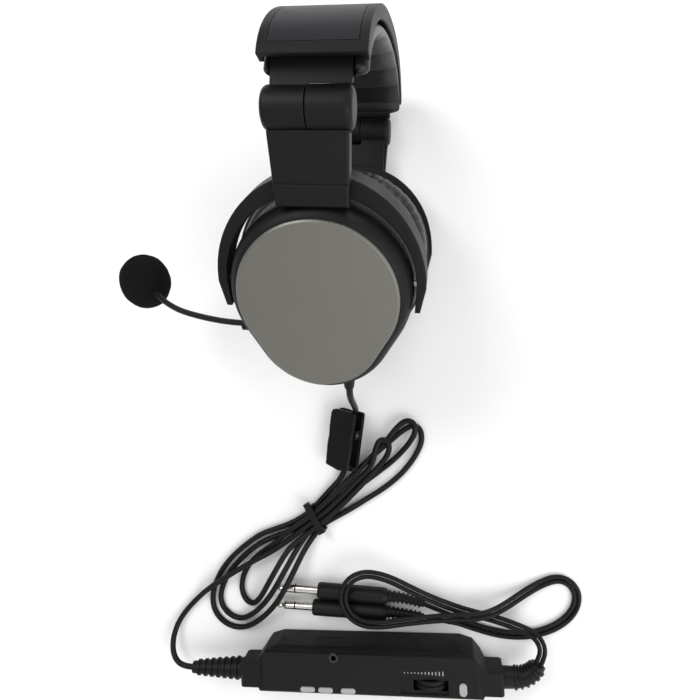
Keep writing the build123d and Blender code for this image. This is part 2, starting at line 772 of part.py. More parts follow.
def make_clip_spring():
    """Torsion spring round the pin, drawn as its coil with two legs."""
    with BuildPart() as spring:
        with BuildSketch(clip_pin_plane()):
            Circle(2.6)
            Circle(1.75, mode=Mode.SUBTRACT)
        extrude(amount=4.5, both=True)
        with BuildSketch(CLIP_PLANE.offset(2.5)):
            with Locations((3.6, 10.2)):
                Rectangle(1.0, 9.0)
        extrude(amount=0.8)
        with BuildSketch(clip_pin_plane().offset(3.1)):
            with Locations((1.6, -2.2)):
                Rectangle(1.2, 1.6)
        extrude(amount=1.0)
    return spring


# ---- tied hank of the downlead
def make_hank():
    """Plain closed shape of the tied loops, humped where they pass over the plug tips."""
    with BuildPart() as hank:
        with BuildSketch(Plane.XY.offset(0.8)):
            with BuildLine():
                Spline(
                    (-24, -180), (-40, -190), (-60, -200), (-81, -219), (-93, -237), (-96, -252),
                    (-93, -265),
                    (-80, -275), (-65, -273), (-51, -262), (-39, -246), (-25, -212), (-15, -194),
                )
                Spline((-15, -194), (16, -174), (36, -159), (49, -142), (54, -128), (50, -117), (42, -117))
                Spline((42, -117), (30, -126), (21, -138), (12, -150), (-2, -161), (-13, -170), (-24, -180))
            make_face()
        extrude(amount=7.4)
        with BuildSketch(Plane.XY.offset(0.8)):
            with BuildLine():
                Polyline(
                    (-21, -214), (-33, -212), (-47, -236), (-66, -262), (-57, -268), (-37, -245), close=True
                )
            make_face()
        extrude(amount=15.2)
        with BuildSketch(Plane.XY):
            with Locations((-30, -245)):
                Rectangle(44, 27)
        extrude(amount=11.0, mode=Mode.SUBTRACT)
    return hank


def make_cable_tie():
    """Strap round the waist of the hank."""
    strap = Plane(origin=(-19.5, -187, 0), x_dir=(0.54, -0.84, 0), z_dir=(0, 0, 1))
    with BuildPart() as tie:
        with BuildSketch(strap):
            Rectangle(20.4, 5)
        extrude(amount=9.6)
        with BuildSketch(strap.offset(0.8)):
            Rectangle(17.6, 7)
        extrude(amount=7.4, mode=Mode.SUBTRACT)
        with BuildSketch(strap.offset(7.0)):
            with Locations((-11, 0)):
                Rectangle(5, 4)
        extrude(amount=3.2)
    return tie


# ---- control box, in its own turned frame
def box_envelope(shrink):
    """Solid of the box, smaller all round by shrink: bar section, slanted back and lower ends."""
    length = BOX_HALF_L - shrink
    top = BOX_TOP - shrink
    section_plane = Plane(origin=BOX_PLANE.origin, x_dir=BOX_PLANE.y_dir, z_dir=BOX_PLANE.x_dir)
    profile_plane = Plane(origin=BOX_PLANE.origin, x_dir=BOX_PLANE.x_dir, z_dir=-BOX_PLANE.y_dir)
    with BuildPart() as envelope:
        with BuildSketch(section_plane):
            with BuildLine():
                Polyline(
                    (-14 + shrink, shrink), (14 - shrink, shrink), (14.8 - shrink, 2 + shrink * 0.5),
                    (13.8 - shrink, 21 - shrink * 0.4), (11.2 - shrink * 0.6, top),
                    (-14.8 + shrink * 0.6, top),
                    (-16.4 + shrink, 25.7 - shrink * 0.4), (-15.6 + shrink, 2 + shrink * 0.5), close=True,
                )
            make_face()
        extrude(amount=length, both=True)
        with BuildSketch(profile_plane):
            with BuildLine():
                Polyline(
                    (-length + 1.5, top - 1.5), (-74, top - 1.5), (-72.5, top), (72.5, top),
                    (74, top - 1.5),
                    (length - 1.5, top - 1.5), (length, top - 3), (length, 6.5 + shrink),
                    (length - 1.5, 5 + shrink),
                    (77 - shrink, 5 + shrink), (75 - shrink, shrink), (-75 + shrink, shrink),
                    (-77 + shrink, 5 + shrink), (-length + 1.5, 5 + shrink), (-length, 6.5 + shrink),
                    (-length, top - 3), close=True,
                )
            make_face()
        extrude(amount=40, both=True, mode=Mode.INTERSECT)
        with BuildSketch(BOX_PLANE):
            with BuildLine():
                Polyline(
                    (-length, -14 + shrink), (-76, -14 + shrink), (-73, -20), (73, -20), (76, -14 + shrink),
                    (length, -14 + shrink), (length, 1 - shrink), (78 - shrink * 0.5, 1 - shrink),
                    (70 - shrink * 0.7, 11.4 - shrink * 0.7), (61 - shrink * 0.4, 14.2 - shrink),
                    (20, 15.2 - shrink),
                    (-40, 15.2 - shrink), (-62 + shrink * 0.4, 14.2 - shrink),
                    (-71 + shrink * 0.7, 11.4 - shrink * 0.7), (-79 + shrink * 0.5, 1 - shrink),
                    (-length, 1 - shrink), close=True,
                )
            make_face()
        extrude(amount=40, mode=Mode.INTERSECT)
    return envelope


def end_plane(side):
    """Plane on one end of the box, facing out, where its cord boot sits."""
    origin = BOX_PLANE.from_local_coords((side * BOX_HALF_L, END_PLACE[0], END_PLACE[1]))
    return Plane(origin=origin, x_dir=(0, 0, 1), z_dir=BOX_PLANE.x_dir * side)


def make_box_shell(upper):
    """One shell of the control box, with its openings."""
    outer = box_envelope(0).part
    inner = box_envelope(BOX_WALL).part
    low = BOX_SPLIT if upper else -1.0
    high = BOX_TOP + 1.0 if upper else BOX_SPLIT - 0.05
    with BuildPart() as shell:
        add(outer)
        add(inner, mode=Mode.SUBTRACT)
        with BuildSketch(BOX_PLANE.offset(low)):
            Rectangle(2 * BOX_HALF_L + 10, 80)
        extrude(amount=high - low, mode=Mode.INTERSECT)
        with BuildSketch(BOX_PLANE.offset(15.0)):
            with Locations(JACK_PLACE):
                Circle(3.3)
        extrude(amount=20.0, mode=Mode.SUBTRACT)
        if upper:
            with BuildSketch(BOX_PLANE.offset(BOX_TOP - 1.2)):
                with Locations((37.0, -7.8)):
                    RectangleRounded(32, 11.6, 2)
            extrude(amount=2.0, mode=Mode.SUBTRACT)
            with BuildSketch(BOX_PLANE.offset(BOX_TOP - 4.0)):
                for place in BUTTON_PLACES.values():
                    with Locations(place):
                        SlotOverall(BUTTON_SIZE[0] + 0.6, BUTTON_SIZE[1] + 0.6)
                with Locations(Location(POWER_PLACE, 90)):
                    SlotOverall(POWER_SIZE[0] + 0.6, POWER_SIZE[1] + 0.6)
                with Locations(WHEEL_PLACE):
                    RectangleRounded(22.6, 7.2, 1)
            extrude(amount=6.0, mode=Mode.SUBTRACT)
        else:
            with BuildSketch(BOX_PLANE.offset(-1.0)):
                with Locations(((DOOR_X[0] + DOOR_X[1]) / 2, 5)):
                    Rectangle(DOOR_X[1] - DOOR_X[0] + 0.6, 26.6)
            extrude(amount=15.3, mode=Mode.SUBTRACT)
    return shell


def make_battery_door():
    """Corner-shaped door over the batteries, with a grip along its top edge."""
    outer = box_envelope(0).part
    inner = box_envelope(BOX_WALL).part
    with BuildPart() as door:
        add(outer)
        add(inner, mode=Mode.SUBTRACT)
        with BuildSketch(BOX_PLANE.offset(-1.0)):
            with Locations(((DOOR_X[0] + DOOR_X[1]) / 2, 5)):
                Rectangle(DOOR_X[1] - DOOR_X[0], 26.0)
        extrude(amount=15.0, mode=Mode.INTERSECT)
        with BuildSketch(BOX_PLANE.offset(10.8)):
            with Locations((-27, 15.2)):
                SlotOverall(19, 3.6)
        extrude(amount=1.8, mode=Mode.SUBTRACT)
    return door


def make_batteries():
    """Two cells end to end, as a group of two."""
    with BuildPart() as cells:
        for side in (-1, 1):
            for shift, radius, length in ((0.2, CELL_R, CELL_L - 1.4), (CELL_L - 1.2, 2.7, 1.2)):
                place = (CELL_PLACE[0] + side * shift, CELL_PLACE[1], CELL_PLACE[2])
                start = BOX_PLANE.from_local_coords(place)
                with BuildSketch(Plane(origin=start, x_dir=(0, 0, 1), z_dir=BOX_PLANE.x_dir * side)):
                    Circle(radius)
                extrude(amount=length)
    return cells


def make_circuit_board():
    """Control board under the buttons, notched for the jack, with a few chips."""
    with BuildPart() as board:
        with BuildSketch(BOX_PLANE.offset(18.2)):
            with Locations((-24, -3.6)):
                Rectangle(92, 18)
        extrude(amount=1.4)
        with BuildSketch(BOX_PLANE.offset(19.6)):
            with Locations((-58, -2), (4, -2)):
                Rectangle(9, 9)
            with Locations((-40, -3), (14, -6)):
                Rectangle(6, 4)
        extrude(amount=1.4)
    return board


def make_thumbwheel(step):
    """One volume wheel with a finely ribbed rim."""
    origin = BOX_PLANE.from_local_coords((WHEEL_PLACE[0], WHEEL_PLACE[1] + step, WHEEL_AXIS_Z))
    middle = Plane(origin=origin, x_dir=BOX_PLANE.x_dir, z_dir=BOX_PLANE.y_dir)
    with BuildPart() as wheel:
        with BuildSketch(middle):
            Circle(WHEEL_R)
            with PolarLocations(WHEEL_R + 0.2, 48):
                Circle(0.45, mode=Mode.SUBTRACT)
            Circle(1.6, mode=Mode.SUBTRACT)
        extrude(amount=WHEEL_T / 2, both=True)
    return wheel


def make_button(place, size, turn):
    """One push button, standing a little proud of the box."""
    with BuildPart() as button:
        with BuildSketch(BOX_PLANE.offset(BOX_SPLIT + 0.9)):
            with Locations(Location(place, turn)):
                SlotOverall(size[0], size[1])
        extrude(amount=BOX_TOP - 0.1 - BOX_SPLIT)
        top = button.faces().sort_by(Axis.Z)[-1]
        fillet(top.edges(), 0.5)
    return button


def make_jack():
    """Socket for a small plug: a ring on the face and the barrel below it."""
    face = BOX_TOP + 0.4
    with BuildPart() as jack:
        with BuildSketch(BOX_PLANE.offset(face - 2.4)):
            with Locations(JACK_PLACE):
                Circle(3.2)
        extrude(amount=2.4)
        with BuildSketch(BOX_PLANE.offset(face - JACK_DEPTH - 1.2)):
            with Locations(JACK_PLACE):
                Circle(2.7)
        extrude(amount=JACK_DEPTH - 1.2)
        with BuildSketch(BOX_PLANE.offset(face - JACK_DEPTH)):
            with Locations(JACK_PLACE):
                Circle(JACK_BORE_R)
        extrude(amount=JACK_DEPTH + 1.0, mode=Mode.SUBTRACT)
    return jack


def ribbed_boot(path_planes, radii, ribs):
    """Tapered boot through circles on a row of planes, with a rib disc on some of them."""
    with BuildPart() as boot:
        for plane, radius in zip(path_planes, radii):
            with BuildSketch(plane):
                Circle(radius)
        loft(ruled=True)
        for plane, radius in list(zip(path_planes, radii))[1:-1]:
            with BuildSketch(plane):
                Circle(radius + ribs)
            extrude(amount=0.7, both=True)
    return boot


def straight_planes(start, end, count):
    """Planes spaced evenly along a straight line, square to it."""
    run = Vector(*end) - Vector(*start)
    return [Plane(origin=Vector(*start) + run * (i / count), z_dir=run) for i in range(count + 1)]


def curved_planes(start, heading, straight, radius, turn, count):
    """Planes along a short straight and then a level arc, to the left if turn is positive."""
    side = 1 if turn > 0 else -1
    first = radians(heading)
    corner = Vector(*start) + Vector(cos(first), sin(first), 0) * straight
    planes = [Plane(origin=start, z_dir=(cos(first), sin(first), 0))]
    for i in range(count + 1):
        angle = radians(heading + turn * i / count)
        shift = Vector(sin(angle) - sin(first), cos(first) - cos(angle), 0) * (side * radius)
        planes.append(Plane(origin=corner + shift, z_dir=(cos(angle), sin(angle), 0)))
    return planes


def taper(first, last, count):
    """Evenly changing radii."""
    return [first + (last - first) * i / (count - 1) for i in range(count)]


# ---- plugs
def plug_plane(joint, turn, along):
    """Plane square to a plug's axis, a distance from the joint of its shaft and boot."""
    heading = Vector(cos(radians(turn)), sin(radians(turn)), 0)
    origin = Vector(joint[0], joint[1], PLUG_Z) + heading * along
    return Plane(origin=origin, x_dir=(0, 0, 1), z_dir=heading)


def make_plug_shaft(joint, turn, radius, length):
    """Plated plug shaft with a waisted tip and insulating rings."""
    square = plug_plane(joint, turn, 0)
    profile = Plane(origin=square.origin, x_dir=square.z_dir, z_dir=square.y_dir)
    neck = radius * 0.92
    with BuildPart() as shaft:
        with BuildSketch(profile):
            with BuildLine():
                Polyline(
                    (0, 0), (-length, 0), (-length + 0.6, radius * 0.45), (-length + 2.4, radius * 0.8),
                    (-length + 3.4, radius * 0.8), (-length + 4.6, radius * 0.55),
                    (-length + 6.0, radius * 0.85),
                    (-length + 6.6, neck), (-length + 7.6, neck), (-length + 7.6, radius),
                    (-length + 13.4, radius), (-length + 13.4, neck), (-length + 14.4, neck),
                    (-length + 14.4, radius), (0, radius), close=True,
                )
            make_face()
        revolve(axis=Axis(profile.origin, profile.x_dir))
    return shaft


def relief_planes(joint, turn, length, bend):
    """Planes along a plug's strain relief, which bends level by an angle in all."""
    start = plug_plane(joint, turn, length).origin
    return curved_planes(start, turn, 1.5, RELIEF_L / abs(radians(bend)), bend, 8)


def make_plug_boot(joint, turn, length, bend):
    """Plug handle with the ribbed strain relief at its end."""
    with BuildPart() as boot:
        with BuildSketch(plug_plane(joint, turn, 0)):
            Circle(PLUG_BOOT_R - 0.7)
        with BuildSketch(plug_plane(joint, turn, 1.5)):
            Circle(PLUG_BOOT_R)
        loft()
        with BuildSketch(plug_plane(joint, turn, 1.5)):
            Circle(PLUG_BOOT_R)
        extrude(amount=length - 4.5)
        with BuildSketch(plug_plane(joint, turn, length - 3.0)):
            Circle(PLUG_BOOT_R)
        with BuildSketch(plug_plane(joint, turn, length)):
            Circle(PLUG_BOOT_R - 1.2)
        loft()
        planes = relief_planes(joint, turn, length, bend)
        radii = taper(3.4, PLUG_CORD_D / 2 + 0.6, len(planes))
        add(ribbed_boot(planes, radii, 0.9).part)
    return boot


def plug_cord(side, last_points, plug):
    """Route of one cord of the pair, from the box to the strain relief of its plug."""
    end = relief_planes(*plug)[-1].origin
    return beside(PAIR_ROUTE, side * PAIR_HALF_GAP) + last_points + [(end.X, end.Y, end.Z)]


def main():
    """Build every piece and write it."""
    os.makedirs("parts", exist_ok=True)
    save_both(make_face_plate(), "face_plate")
    save(make_housing(boom=False, gland=False), "housing_right")
    save_left(make_housing(boom=True, gland=True), "housing_left")
    save_both(make_baffle(), "baffle")
    save_both(make_driver(), "driver")
    save_both(make_noise_board(), "noise_board")
    save_both(make_cushion(), "ear_cushion")
    save_both(make_pivot_screws(), "pivot_screws")
    save_both(make_yoke(), "yoke")
    save_both(make_arm_cover(), "arm_cover")
    save_both(make_hinge_pin(), "hinge_pin")
    save_both(make_slider_rail(), "slider_rail")

    save(make_headband_cover(), "headband_cover")
    save(make_band_layer(PANEL_START, 0, PANEL_T, PANEL_HALF_W), "headband_panel")
    save(make_band_layer(SPRING_START, SPRING_TOP, SPRING_TOP + SPRING_T, SPRING_HALF_W), "headband_spring")
    save(make_headband_pad(), "headband_pad")

    save_left(make_boom_collar(), "boom_collar")
    save_left(make_boom(), "boom")
    save_left(make_mic_housing(), "mic_housing")
    save_left(make_windscreen(), "mic_windscreen")
    save_left(make_gland(), "cord_gland")

    make_cord("downlead_drop", DROP_ROUTE, CORD_D)
    save(make_hank(), "downlead_hank")
    save(make_cable_tie(), "cable_tie")
    make_cord("downlead_tail", TAIL_ROUTE, CORD_D)

    save(make_clip_base(), "clip_base")
    save(make_clip_jaw(), "clip_jaw")
    save(make_clip_pin(), "clip_pin")
    save(make_clip_spring(), "clip_spring")

    save(make_box_shell(upper=True), "box_front")
    save(make_box_shell(upper=False), "box_rear")
    save(make_battery_door(), "battery_door")
    save(make_batteries(), "batteries")
    save(make_circuit_board(), "circuit_board")
    save(make_thumbwheel(WHEEL_STEP), "volume_wheel_left")
    save(make_thumbwheel(-WHEEL_STEP), "volume_wheel_right")
    for name, place in BUTTON_PLACES.items():
        save(make_button(place, BUTTON_SIZE, 0), f"button_{name}")
    save(make_button(POWER_PLACE, POWER_SIZE, 90), "power_button")
    save(make_jack(), "audio_jack")
    save(
        ribbed_boot(straight_planes(end_plane(-1).origin, TAIL_ROUTE[-1], 8), taper(7.0, 4.0, 9), 1.0),
        "box_boot_in",
    )
    out_planes = curved_planes(end_plane(1).origin, BOX_TURN, 8.0, 17.0, 62.0, 6)
    save(ribbed_boot(out_planes, taper(7.0, 4.9, 8), 0.9), "box_boot_out")

    headphone = (HEADPHONE_JOINT, HEADPHONE_TURN, HEADPHONE_BOOT_L, HEADPHONE_BEND)
    mic = (MIC_JOINT, MIC_TURN, MIC_BOOT_L, MIC_BEND)
    save(
        make_plug_shaft(HEADPHONE_JOINT, HEADPHONE_TURN, HEADPHONE_SHAFT_R, HEADPHONE_SHAFT_L),
        "headphone_plug_shaft",
    )
    save(make_plug_shaft(MIC_JOINT, MIC_TURN, MIC_SHAFT_R, MIC_SHAFT_L), "mic_plug_shaft")
    save(make_plug_boot(*headphone), "headphone_plug_boot")
    save(make_plug_boot(*mic), "mic_plug_boot")
    make_cord("headphone_cord", plug_cord(1, HEADPHONE_CORD_END, headphone), PLUG_CORD_D)
    make_cord("mic_cord", plug_cord(-1, MIC_CORD_END, mic), PLUG_CORD_D)


main()
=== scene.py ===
"""Aviation headset lying on its side: materials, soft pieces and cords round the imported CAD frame."""
import json
import math

import bpy
from mathutils import Matrix, Vector, noise


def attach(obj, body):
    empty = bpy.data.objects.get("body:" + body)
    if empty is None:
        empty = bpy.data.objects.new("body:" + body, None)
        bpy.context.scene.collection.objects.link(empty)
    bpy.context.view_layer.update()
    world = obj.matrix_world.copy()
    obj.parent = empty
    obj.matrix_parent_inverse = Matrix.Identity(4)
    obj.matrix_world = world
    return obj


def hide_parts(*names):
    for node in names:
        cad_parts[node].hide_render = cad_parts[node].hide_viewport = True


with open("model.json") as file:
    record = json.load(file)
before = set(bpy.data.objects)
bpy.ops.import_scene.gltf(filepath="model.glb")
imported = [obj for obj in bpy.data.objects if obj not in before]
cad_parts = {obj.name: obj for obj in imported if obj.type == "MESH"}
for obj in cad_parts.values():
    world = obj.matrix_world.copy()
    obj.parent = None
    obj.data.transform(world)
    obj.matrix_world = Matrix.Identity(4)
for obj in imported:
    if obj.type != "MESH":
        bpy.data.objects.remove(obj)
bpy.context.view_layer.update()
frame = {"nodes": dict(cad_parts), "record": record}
NODES = frame["nodes"]

MM = 0.001

# ---- the plane halfway between the cups, which the headset is mirrored in
TILT = math.radians(15)
MID_HEIGHT = 73
MID_ORIGIN = Vector((0, 0, MID_HEIGHT * MM))
MID_NORMAL = Vector((0, -math.sin(TILT), math.cos(TILT)))

# ---- camera, at the photograph's viewing angle
CAMERA_PLACE = (0.05738, -0.05163, 0.4135)
CAMERA_TURN = (2.114, -8.171, -3.074)
CAMERA_LENS = 30.63

# ---- routes, in metres
# from the left cup, through the clip and into the tied hank
DROP_ROUTE = [
    (0.0113, -0.0841, 0.0886), (0.0112, -0.0887, 0.0846), (0.0107, -0.0915, 0.077), (0.010, -0.0945, 0.066),
    (0.0092, -0.0978, 0.053), (0.0083, -0.101, 0.040), (0.0073, -0.104, 0.027), (0.0063, -0.1065, 0.017),
    (0.0052, -0.110, 0.0092), (0.0041, -0.1145, 0.005), (0.0031, -0.120, 0.0037), (0.0017, -0.129, 0.0035),
    (0.0005, -0.140, 0.0036), (-0.0007, -0.1495, 0.0036), (-0.0042, -0.158, 0.0038), (-0.0105, -0.1655, 0.0034),
]
# outer loop: down the left, round the bottom, over the plug tips, up to the top and back
HANK_FIRST = [
    (-0.0175, -0.1742, 0.0022), (-0.0239, -0.1826, 0.0021), (-0.031, -0.188, 0.0021), (-0.0385, -0.193, 0.0021),
    (-0.0485, -0.1975, 0.0021), (-0.0595, -0.2023, 0.0021), (-0.0705, -0.211, 0.0021), (-0.0805, -0.221, 0.0021),
    (-0.087, -0.230, 0.0021), (-0.0915, -0.239, 0.0021), (-0.0938, -0.2475, 0.0021), (-0.0942, -0.255, 0.0021),
    (-0.092, -0.263, 0.0021), (-0.086, -0.2695, 0.0021), (-0.077, -0.273, 0.0022), (-0.0665, -0.271, 0.0035),
    (-0.057, -0.2635, 0.006), (-0.0485, -0.2535, 0.0112), (-0.042, -0.244, 0.0142), (-0.036, -0.232, 0.0142),
    (-0.0315, -0.221, 0.0108), (-0.0275, -0.211, 0.006), (-0.0222, -0.2015, 0.003), (-0.0151, -0.1914, 0.0021),
    (-0.0085, -0.1868, 0.0021), (-0.001, -0.182, 0.0021), (0.007, -0.1765, 0.0021), (0.015, -0.1705, 0.0021),
    (0.026, -0.1625, 0.0021), (0.036, -0.1535, 0.0021), (0.044, -0.1435, 0.0021), (0.0495, -0.133, 0.0021),
    (0.0515, -0.126, 0.0021), (0.050, -0.1185, 0.0021), (0.0445, -0.116, 0.0021), (0.0375, -0.1205, 0.0021),
    (0.028, -0.130, 0.0021), (0.018, -0.1395, 0.0021), (0.008, -0.1505, 0.0021), (-0.002, -0.162, 0.0021),
    (-0.0115, -0.174, 0.0021), (-0.021, -0.1855, 0.0021),
]
# middle loop, inside the first
HANK_SECOND = [
    (-0.0285, -0.1918, 0.0021), (-0.0368, -0.1977, 0.0021), (-0.047, -0.2022, 0.0021), (-0.0572, -0.2072, 0.0021),
    (-0.0678, -0.2155, 0.0021), (-0.0765, -0.225, 0.0021), (-0.0827, -0.2335, 0.0021), (-0.0865, -0.242, 0.0021),
    (-0.0885, -0.251, 0.0021), (-0.0865, -0.2585, 0.0021), (-0.0815, -0.2635, 0.0021), (-0.075, -0.266, 0.0022),
    (-0.0685, -0.2645, 0.0035), (-0.0605, -0.258, 0.0068), (-0.053, -0.249, 0.0115), (-0.0465, -0.239, 0.0142),
    (-0.041, -0.228, 0.0138), (-0.0365, -0.2185, 0.010), (-0.032, -0.209, 0.006), (-0.0262, -0.1985, 0.0032),
    (-0.018, -0.1885, 0.0021), (-0.011, -0.180, 0.0021), (-0.005, -0.1745, 0.0021), (0.001, -0.169, 0.0021),
    (0.0075, -0.1635, 0.0021), (0.014, -0.158, 0.0021), (0.022, -0.151, 0.0021), (0.030, -0.144, 0.0023),
    (0.037, -0.1365, 0.003), (0.0425, -0.129, 0.0048), (0.0465, -0.1215, 0.0062), (0.0462, -0.1145, 0.0064),
    (0.0405, -0.1122, 0.0064), (0.0345, -0.117, 0.0064), (0.0295, -0.1245, 0.0064), (0.0232, -0.133, 0.0063),
    (0.0152, -0.1422, 0.0063), (0.0062, -0.1525, 0.0062), (-0.0035, -0.164, 0.0062), (-0.013, -0.1748, 0.0062),
    (-0.0224, -0.1841, 0.0062),
]
# inner loop, the shortest
HANK_THIRD = [
    (-0.030, -0.1905, 0.0062), (-0.0392, -0.1972, 0.0061), (-0.0485, -0.2075, 0.0054), (-0.057, -0.2142, 0.0021),
    (-0.0655, -0.222, 0.0021), (-0.0712, -0.232, 0.0021), (-0.073, -0.243, 0.0021), (-0.0695, -0.2515, 0.0023),
    (-0.063, -0.2535, 0.0042), (-0.057, -0.247, 0.0085), (-0.0515, -0.2365, 0.0135), (-0.0462, -0.2255, 0.0142),
    (-0.0415, -0.216, 0.0115), (-0.0365, -0.2075, 0.0085), (-0.0272, -0.1996, 0.0068), (-0.0166, -0.1899, 0.0062),
    (-0.0066, -0.1806, 0.0062), (0.003, -0.170, 0.0062), (0.0125, -0.1587, 0.0062), (0.0202, -0.1492, 0.0063),
    (0.0265, -0.141, 0.0075), (0.030, -0.1335, 0.0098), (0.0288, -0.1268, 0.0106), (0.0228, -0.1262, 0.0106),
    (0.0202, -0.1335, 0.0105), (0.0188, -0.1425, 0.0098), (0.0155, -0.1495, 0.0072), (0.0095, -0.1557, 0.0063),
    (-0.0002, -0.1672, 0.0062), (-0.0098, -0.1778, 0.0062), (-0.0195, -0.187, 0.0062),
]
# out of the hank and round into the control box
HANK_LAST = [
    (-0.030, -0.196, 0.0063), (-0.0405, -0.2052, 0.0064), (-0.0515, -0.2138, 0.0064), (-0.062, -0.2202, 0.0065),
    (-0.071, -0.2262, 0.007), (-0.080, -0.2325, 0.0075),
]
TAIL_ROUTE = [
    (-0.089, -0.239, 0.0074), (-0.0955, -0.2445, 0.0062), (-0.102, -0.2508, 0.0035), (-0.110, -0.2598, 0.0022),
    (-0.1165, -0.2685, 0.0026), (-0.1205, -0.2775, 0.0045), (-0.121, -0.2865, 0.0085), (-0.1175, -0.2945, 0.013),
    (-0.1095, -0.2989, 0.0158), (-0.101, -0.298, 0.016),
]
# middle line of the two plug cords, from the box to where they part
PAIR_ROUTE = [
    (0.1348, -0.2657, 0.0155), (0.1375, -0.2592, 0.0155), (0.1363, -0.2524, 0.0144), (0.1314, -0.2476, 0.0124),
    (0.1236, -0.2456, 0.0104), (0.114, -0.2436, 0.0088), (0.104, -0.2419, 0.008), (0.093, -0.2405, 0.008),
    (0.0815, -0.2383, 0.0082), (0.0705, -0.2348, 0.0098), (0.0595, -0.2302, 0.013), (0.0475, -0.2246, 0.0154),
    (0.0375, -0.2202, 0.0165), (0.0275, -0.2176, 0.0168), (0.0163, -0.2175, 0.0168), (0.0062, -0.224, 0.0168),
    (0.003, -0.2356, 0.0168), (0.0078, -0.2468, 0.0168), (0.018, -0.2524, 0.0167), (0.0305, -0.2516, 0.0164),
    (0.043, -0.2486, 0.0158), (0.0554, -0.2458, 0.0152), (0.068, -0.2433, 0.0148), (0.080, -0.2414, 0.0146),
    (0.0915, -0.2399, 0.0146), (0.1025, -0.2372, 0.013), (0.113, -0.2324, 0.0086), (0.1235, -0.2258, 0.004),
    (0.134, -0.2186, 0.002), (0.1452, -0.2127, 0.0016), (0.154, -0.2142, 0.0016), (0.1597, -0.2211, 0.0016),
    (0.1597, -0.2299, 0.0016), (0.1555, -0.2382, 0.0016), (0.1483, -0.2452, 0.0016), (0.1395, -0.2502, 0.0016),
    (0.129, -0.2538, 0.0016), (0.117, -0.2553, 0.0016), (0.1045, -0.2543, 0.0017), (0.0925, -0.2518, 0.0021),
    (0.082, -0.2489, 0.003),
]
HEADPHONE_CORD_END = [(0.0725, -0.243, 0.0048), (0.0646, -0.2404, 0.006), (0.05885, -0.23839, 0.0064)]
MIC_CORD_END = [(0.074, -0.2496, 0.0046), (0.0664, -0.2479, 0.006), (0.05904, -0.24718, 0.0064)]
BOOM_ROUTE = [
    (-0.043, -0.0252, 0.0134), (-0.051, -0.0253, 0.0139), (-0.062, -0.026, 0.0174), (-0.0735, -0.0272, 0.0228),
    (-0.0845, -0.0283, 0.029), (-0.093, -0.029, 0.0354), (-0.101, -0.029, 0.042), (-0.1075, -0.0282, 0.048),
    (-0.113, -0.027, 0.0532),
]
PAIR_HALF_GAP = 0.0017
CORD_D = 0.0039
PLUG_CORD_D = 0.003
HEADPHONE_CORD_LENGTH = 0.47
MIC_CORD_LENGTH = 0.46


# ---- helpers
def mirrored(point):
    """The same point on the other side of the head."""
    p = Vector(point)
    return p - 2 * (p - MID_ORIGIN).dot(MID_NORMAL) * MID_NORMAL


def beside(route, shift):
    """The same route moved level to its right by shift."""
    moved = []
    for i, point in enumerate(route):
        before = route[max(i - 1, 0)]
        after = route[min(i + 1, len(route) - 1)]
        run_x = after[0] - before[0]
        run_y = after[1] - before[1]
        run = math.hypot(run_x, run_y)
        moved.append((point[0] + shift * run_y / run, point[1] - shift * run_x / run, point[2]))
    return moved


def nurbs(name, route, radius):
    """A smooth tube whose control points are the route's points."""
    data = bpy.data.curves.new(name, "CURVE")
    data.dimensions = "3D"
    spline = data.splines.new("NURBS")
    spline.points.add(len(route) - 1)
    for place, point in zip(spline.points, route):
        place.co = (*point, 1)
    spline.order_u = 3
    spline.use_endpoint_u = True
    spline.resolution_u = 8
    data.bevel_depth = radius
    data.bevel_resolution = 5
    data.use_fill_caps = True
    piece = bpy.data.objects.new(name, data)
    bpy.context.collection.objects.link(piece)
    return piece


def mesh_piece(name, points, faces):
    """A smooth-shaded mesh object."""
    data = bpy.data.meshes.new(name)
    data.from_pydata([tuple(p) for p in points], [], faces)
    data.validate()
    for polygon in data.polygons:
        polygon.use_smooth = True
    piece = bpy.data.objects.new(name, data)
    bpy.context.collection.objects.link(piece)
    return piece


def circle(centre, side, third, radius, count):
    """Points round a circle that lies in the plane of two unit vectors."""
    angles = [2 * math.pi * j / count for j in range(count)]
    return [centre + (side * math.cos(a) + third * math.sin(a)) * radius for a in angles]


def ring_faces(rings, around, closed_rings=False, flip=False):
    """Quads between rings of points, and optionally from the last ring to the first."""
    faces = []
    for i in range(rings if closed_rings else rings - 1):
        for j in range(around):
            a = i * around + j
            b = i * around + (j + 1) % around
            c = ((i + 1) % rings) * around + (j + 1) % around
            d = ((i + 1) % rings) * around + j
            faces.append((a, d, c, b) if flip else (a, b, c, d))
    return faces


def capped_faces(rings, around):
    """Quads between rings of points, with a flat face over each end."""
    last = (rings - 1) * around
    return ring_faces(rings, around) + [
        tuple(range(around - 1, -1, -1)),
        tuple(last + j for j in range(around)),
    ]


def line_length(line):
    return sum((b - a).length for a, b in zip(line, line[1:]))


def even_points(line, count):
    """The places that split a line of points into count equal lengths, each with its direction."""
    along = [0.0]
    for a, b in zip(line, line[1:]):
        along.append(along[-1] + (b - a).length)
    spaced = []
    k = 0
    for i in range(count + 1):
        at = along[-1] * i / count
        while k < len(line) - 2 and along[k + 1] < at:
            k += 1
        run = (line[k + 1] - line[k]).normalized()
        spaced.append((line[k] + run * (at - along[k]), run))
    return spaced


def ring_noise(share, radius, layer):
    """Smooth noise round a ring, the same at both ends of the turn."""
    angle = 2 * math.pi * share
    return noise.noise(Vector((radius * math.cos(angle), radius * math.sin(angle), layer)))


def signed_power(value, power):
    """A power that keeps the sign, which squares off or rounds a section's corners."""
    return math.copysign(abs(value) ** power, value)


# ---- materials
CLOUD_SCALE = 60
CLOUD_DETAIL = 6
GLOSS_SPREAD = 0.08
BEVEL_SAMPLES = 4
# how far the softened normal turns before the edges are fully paled, partly wear and partly a painted highlight
WEAR_AND_HIGHLIGHT_TURN = 0.75


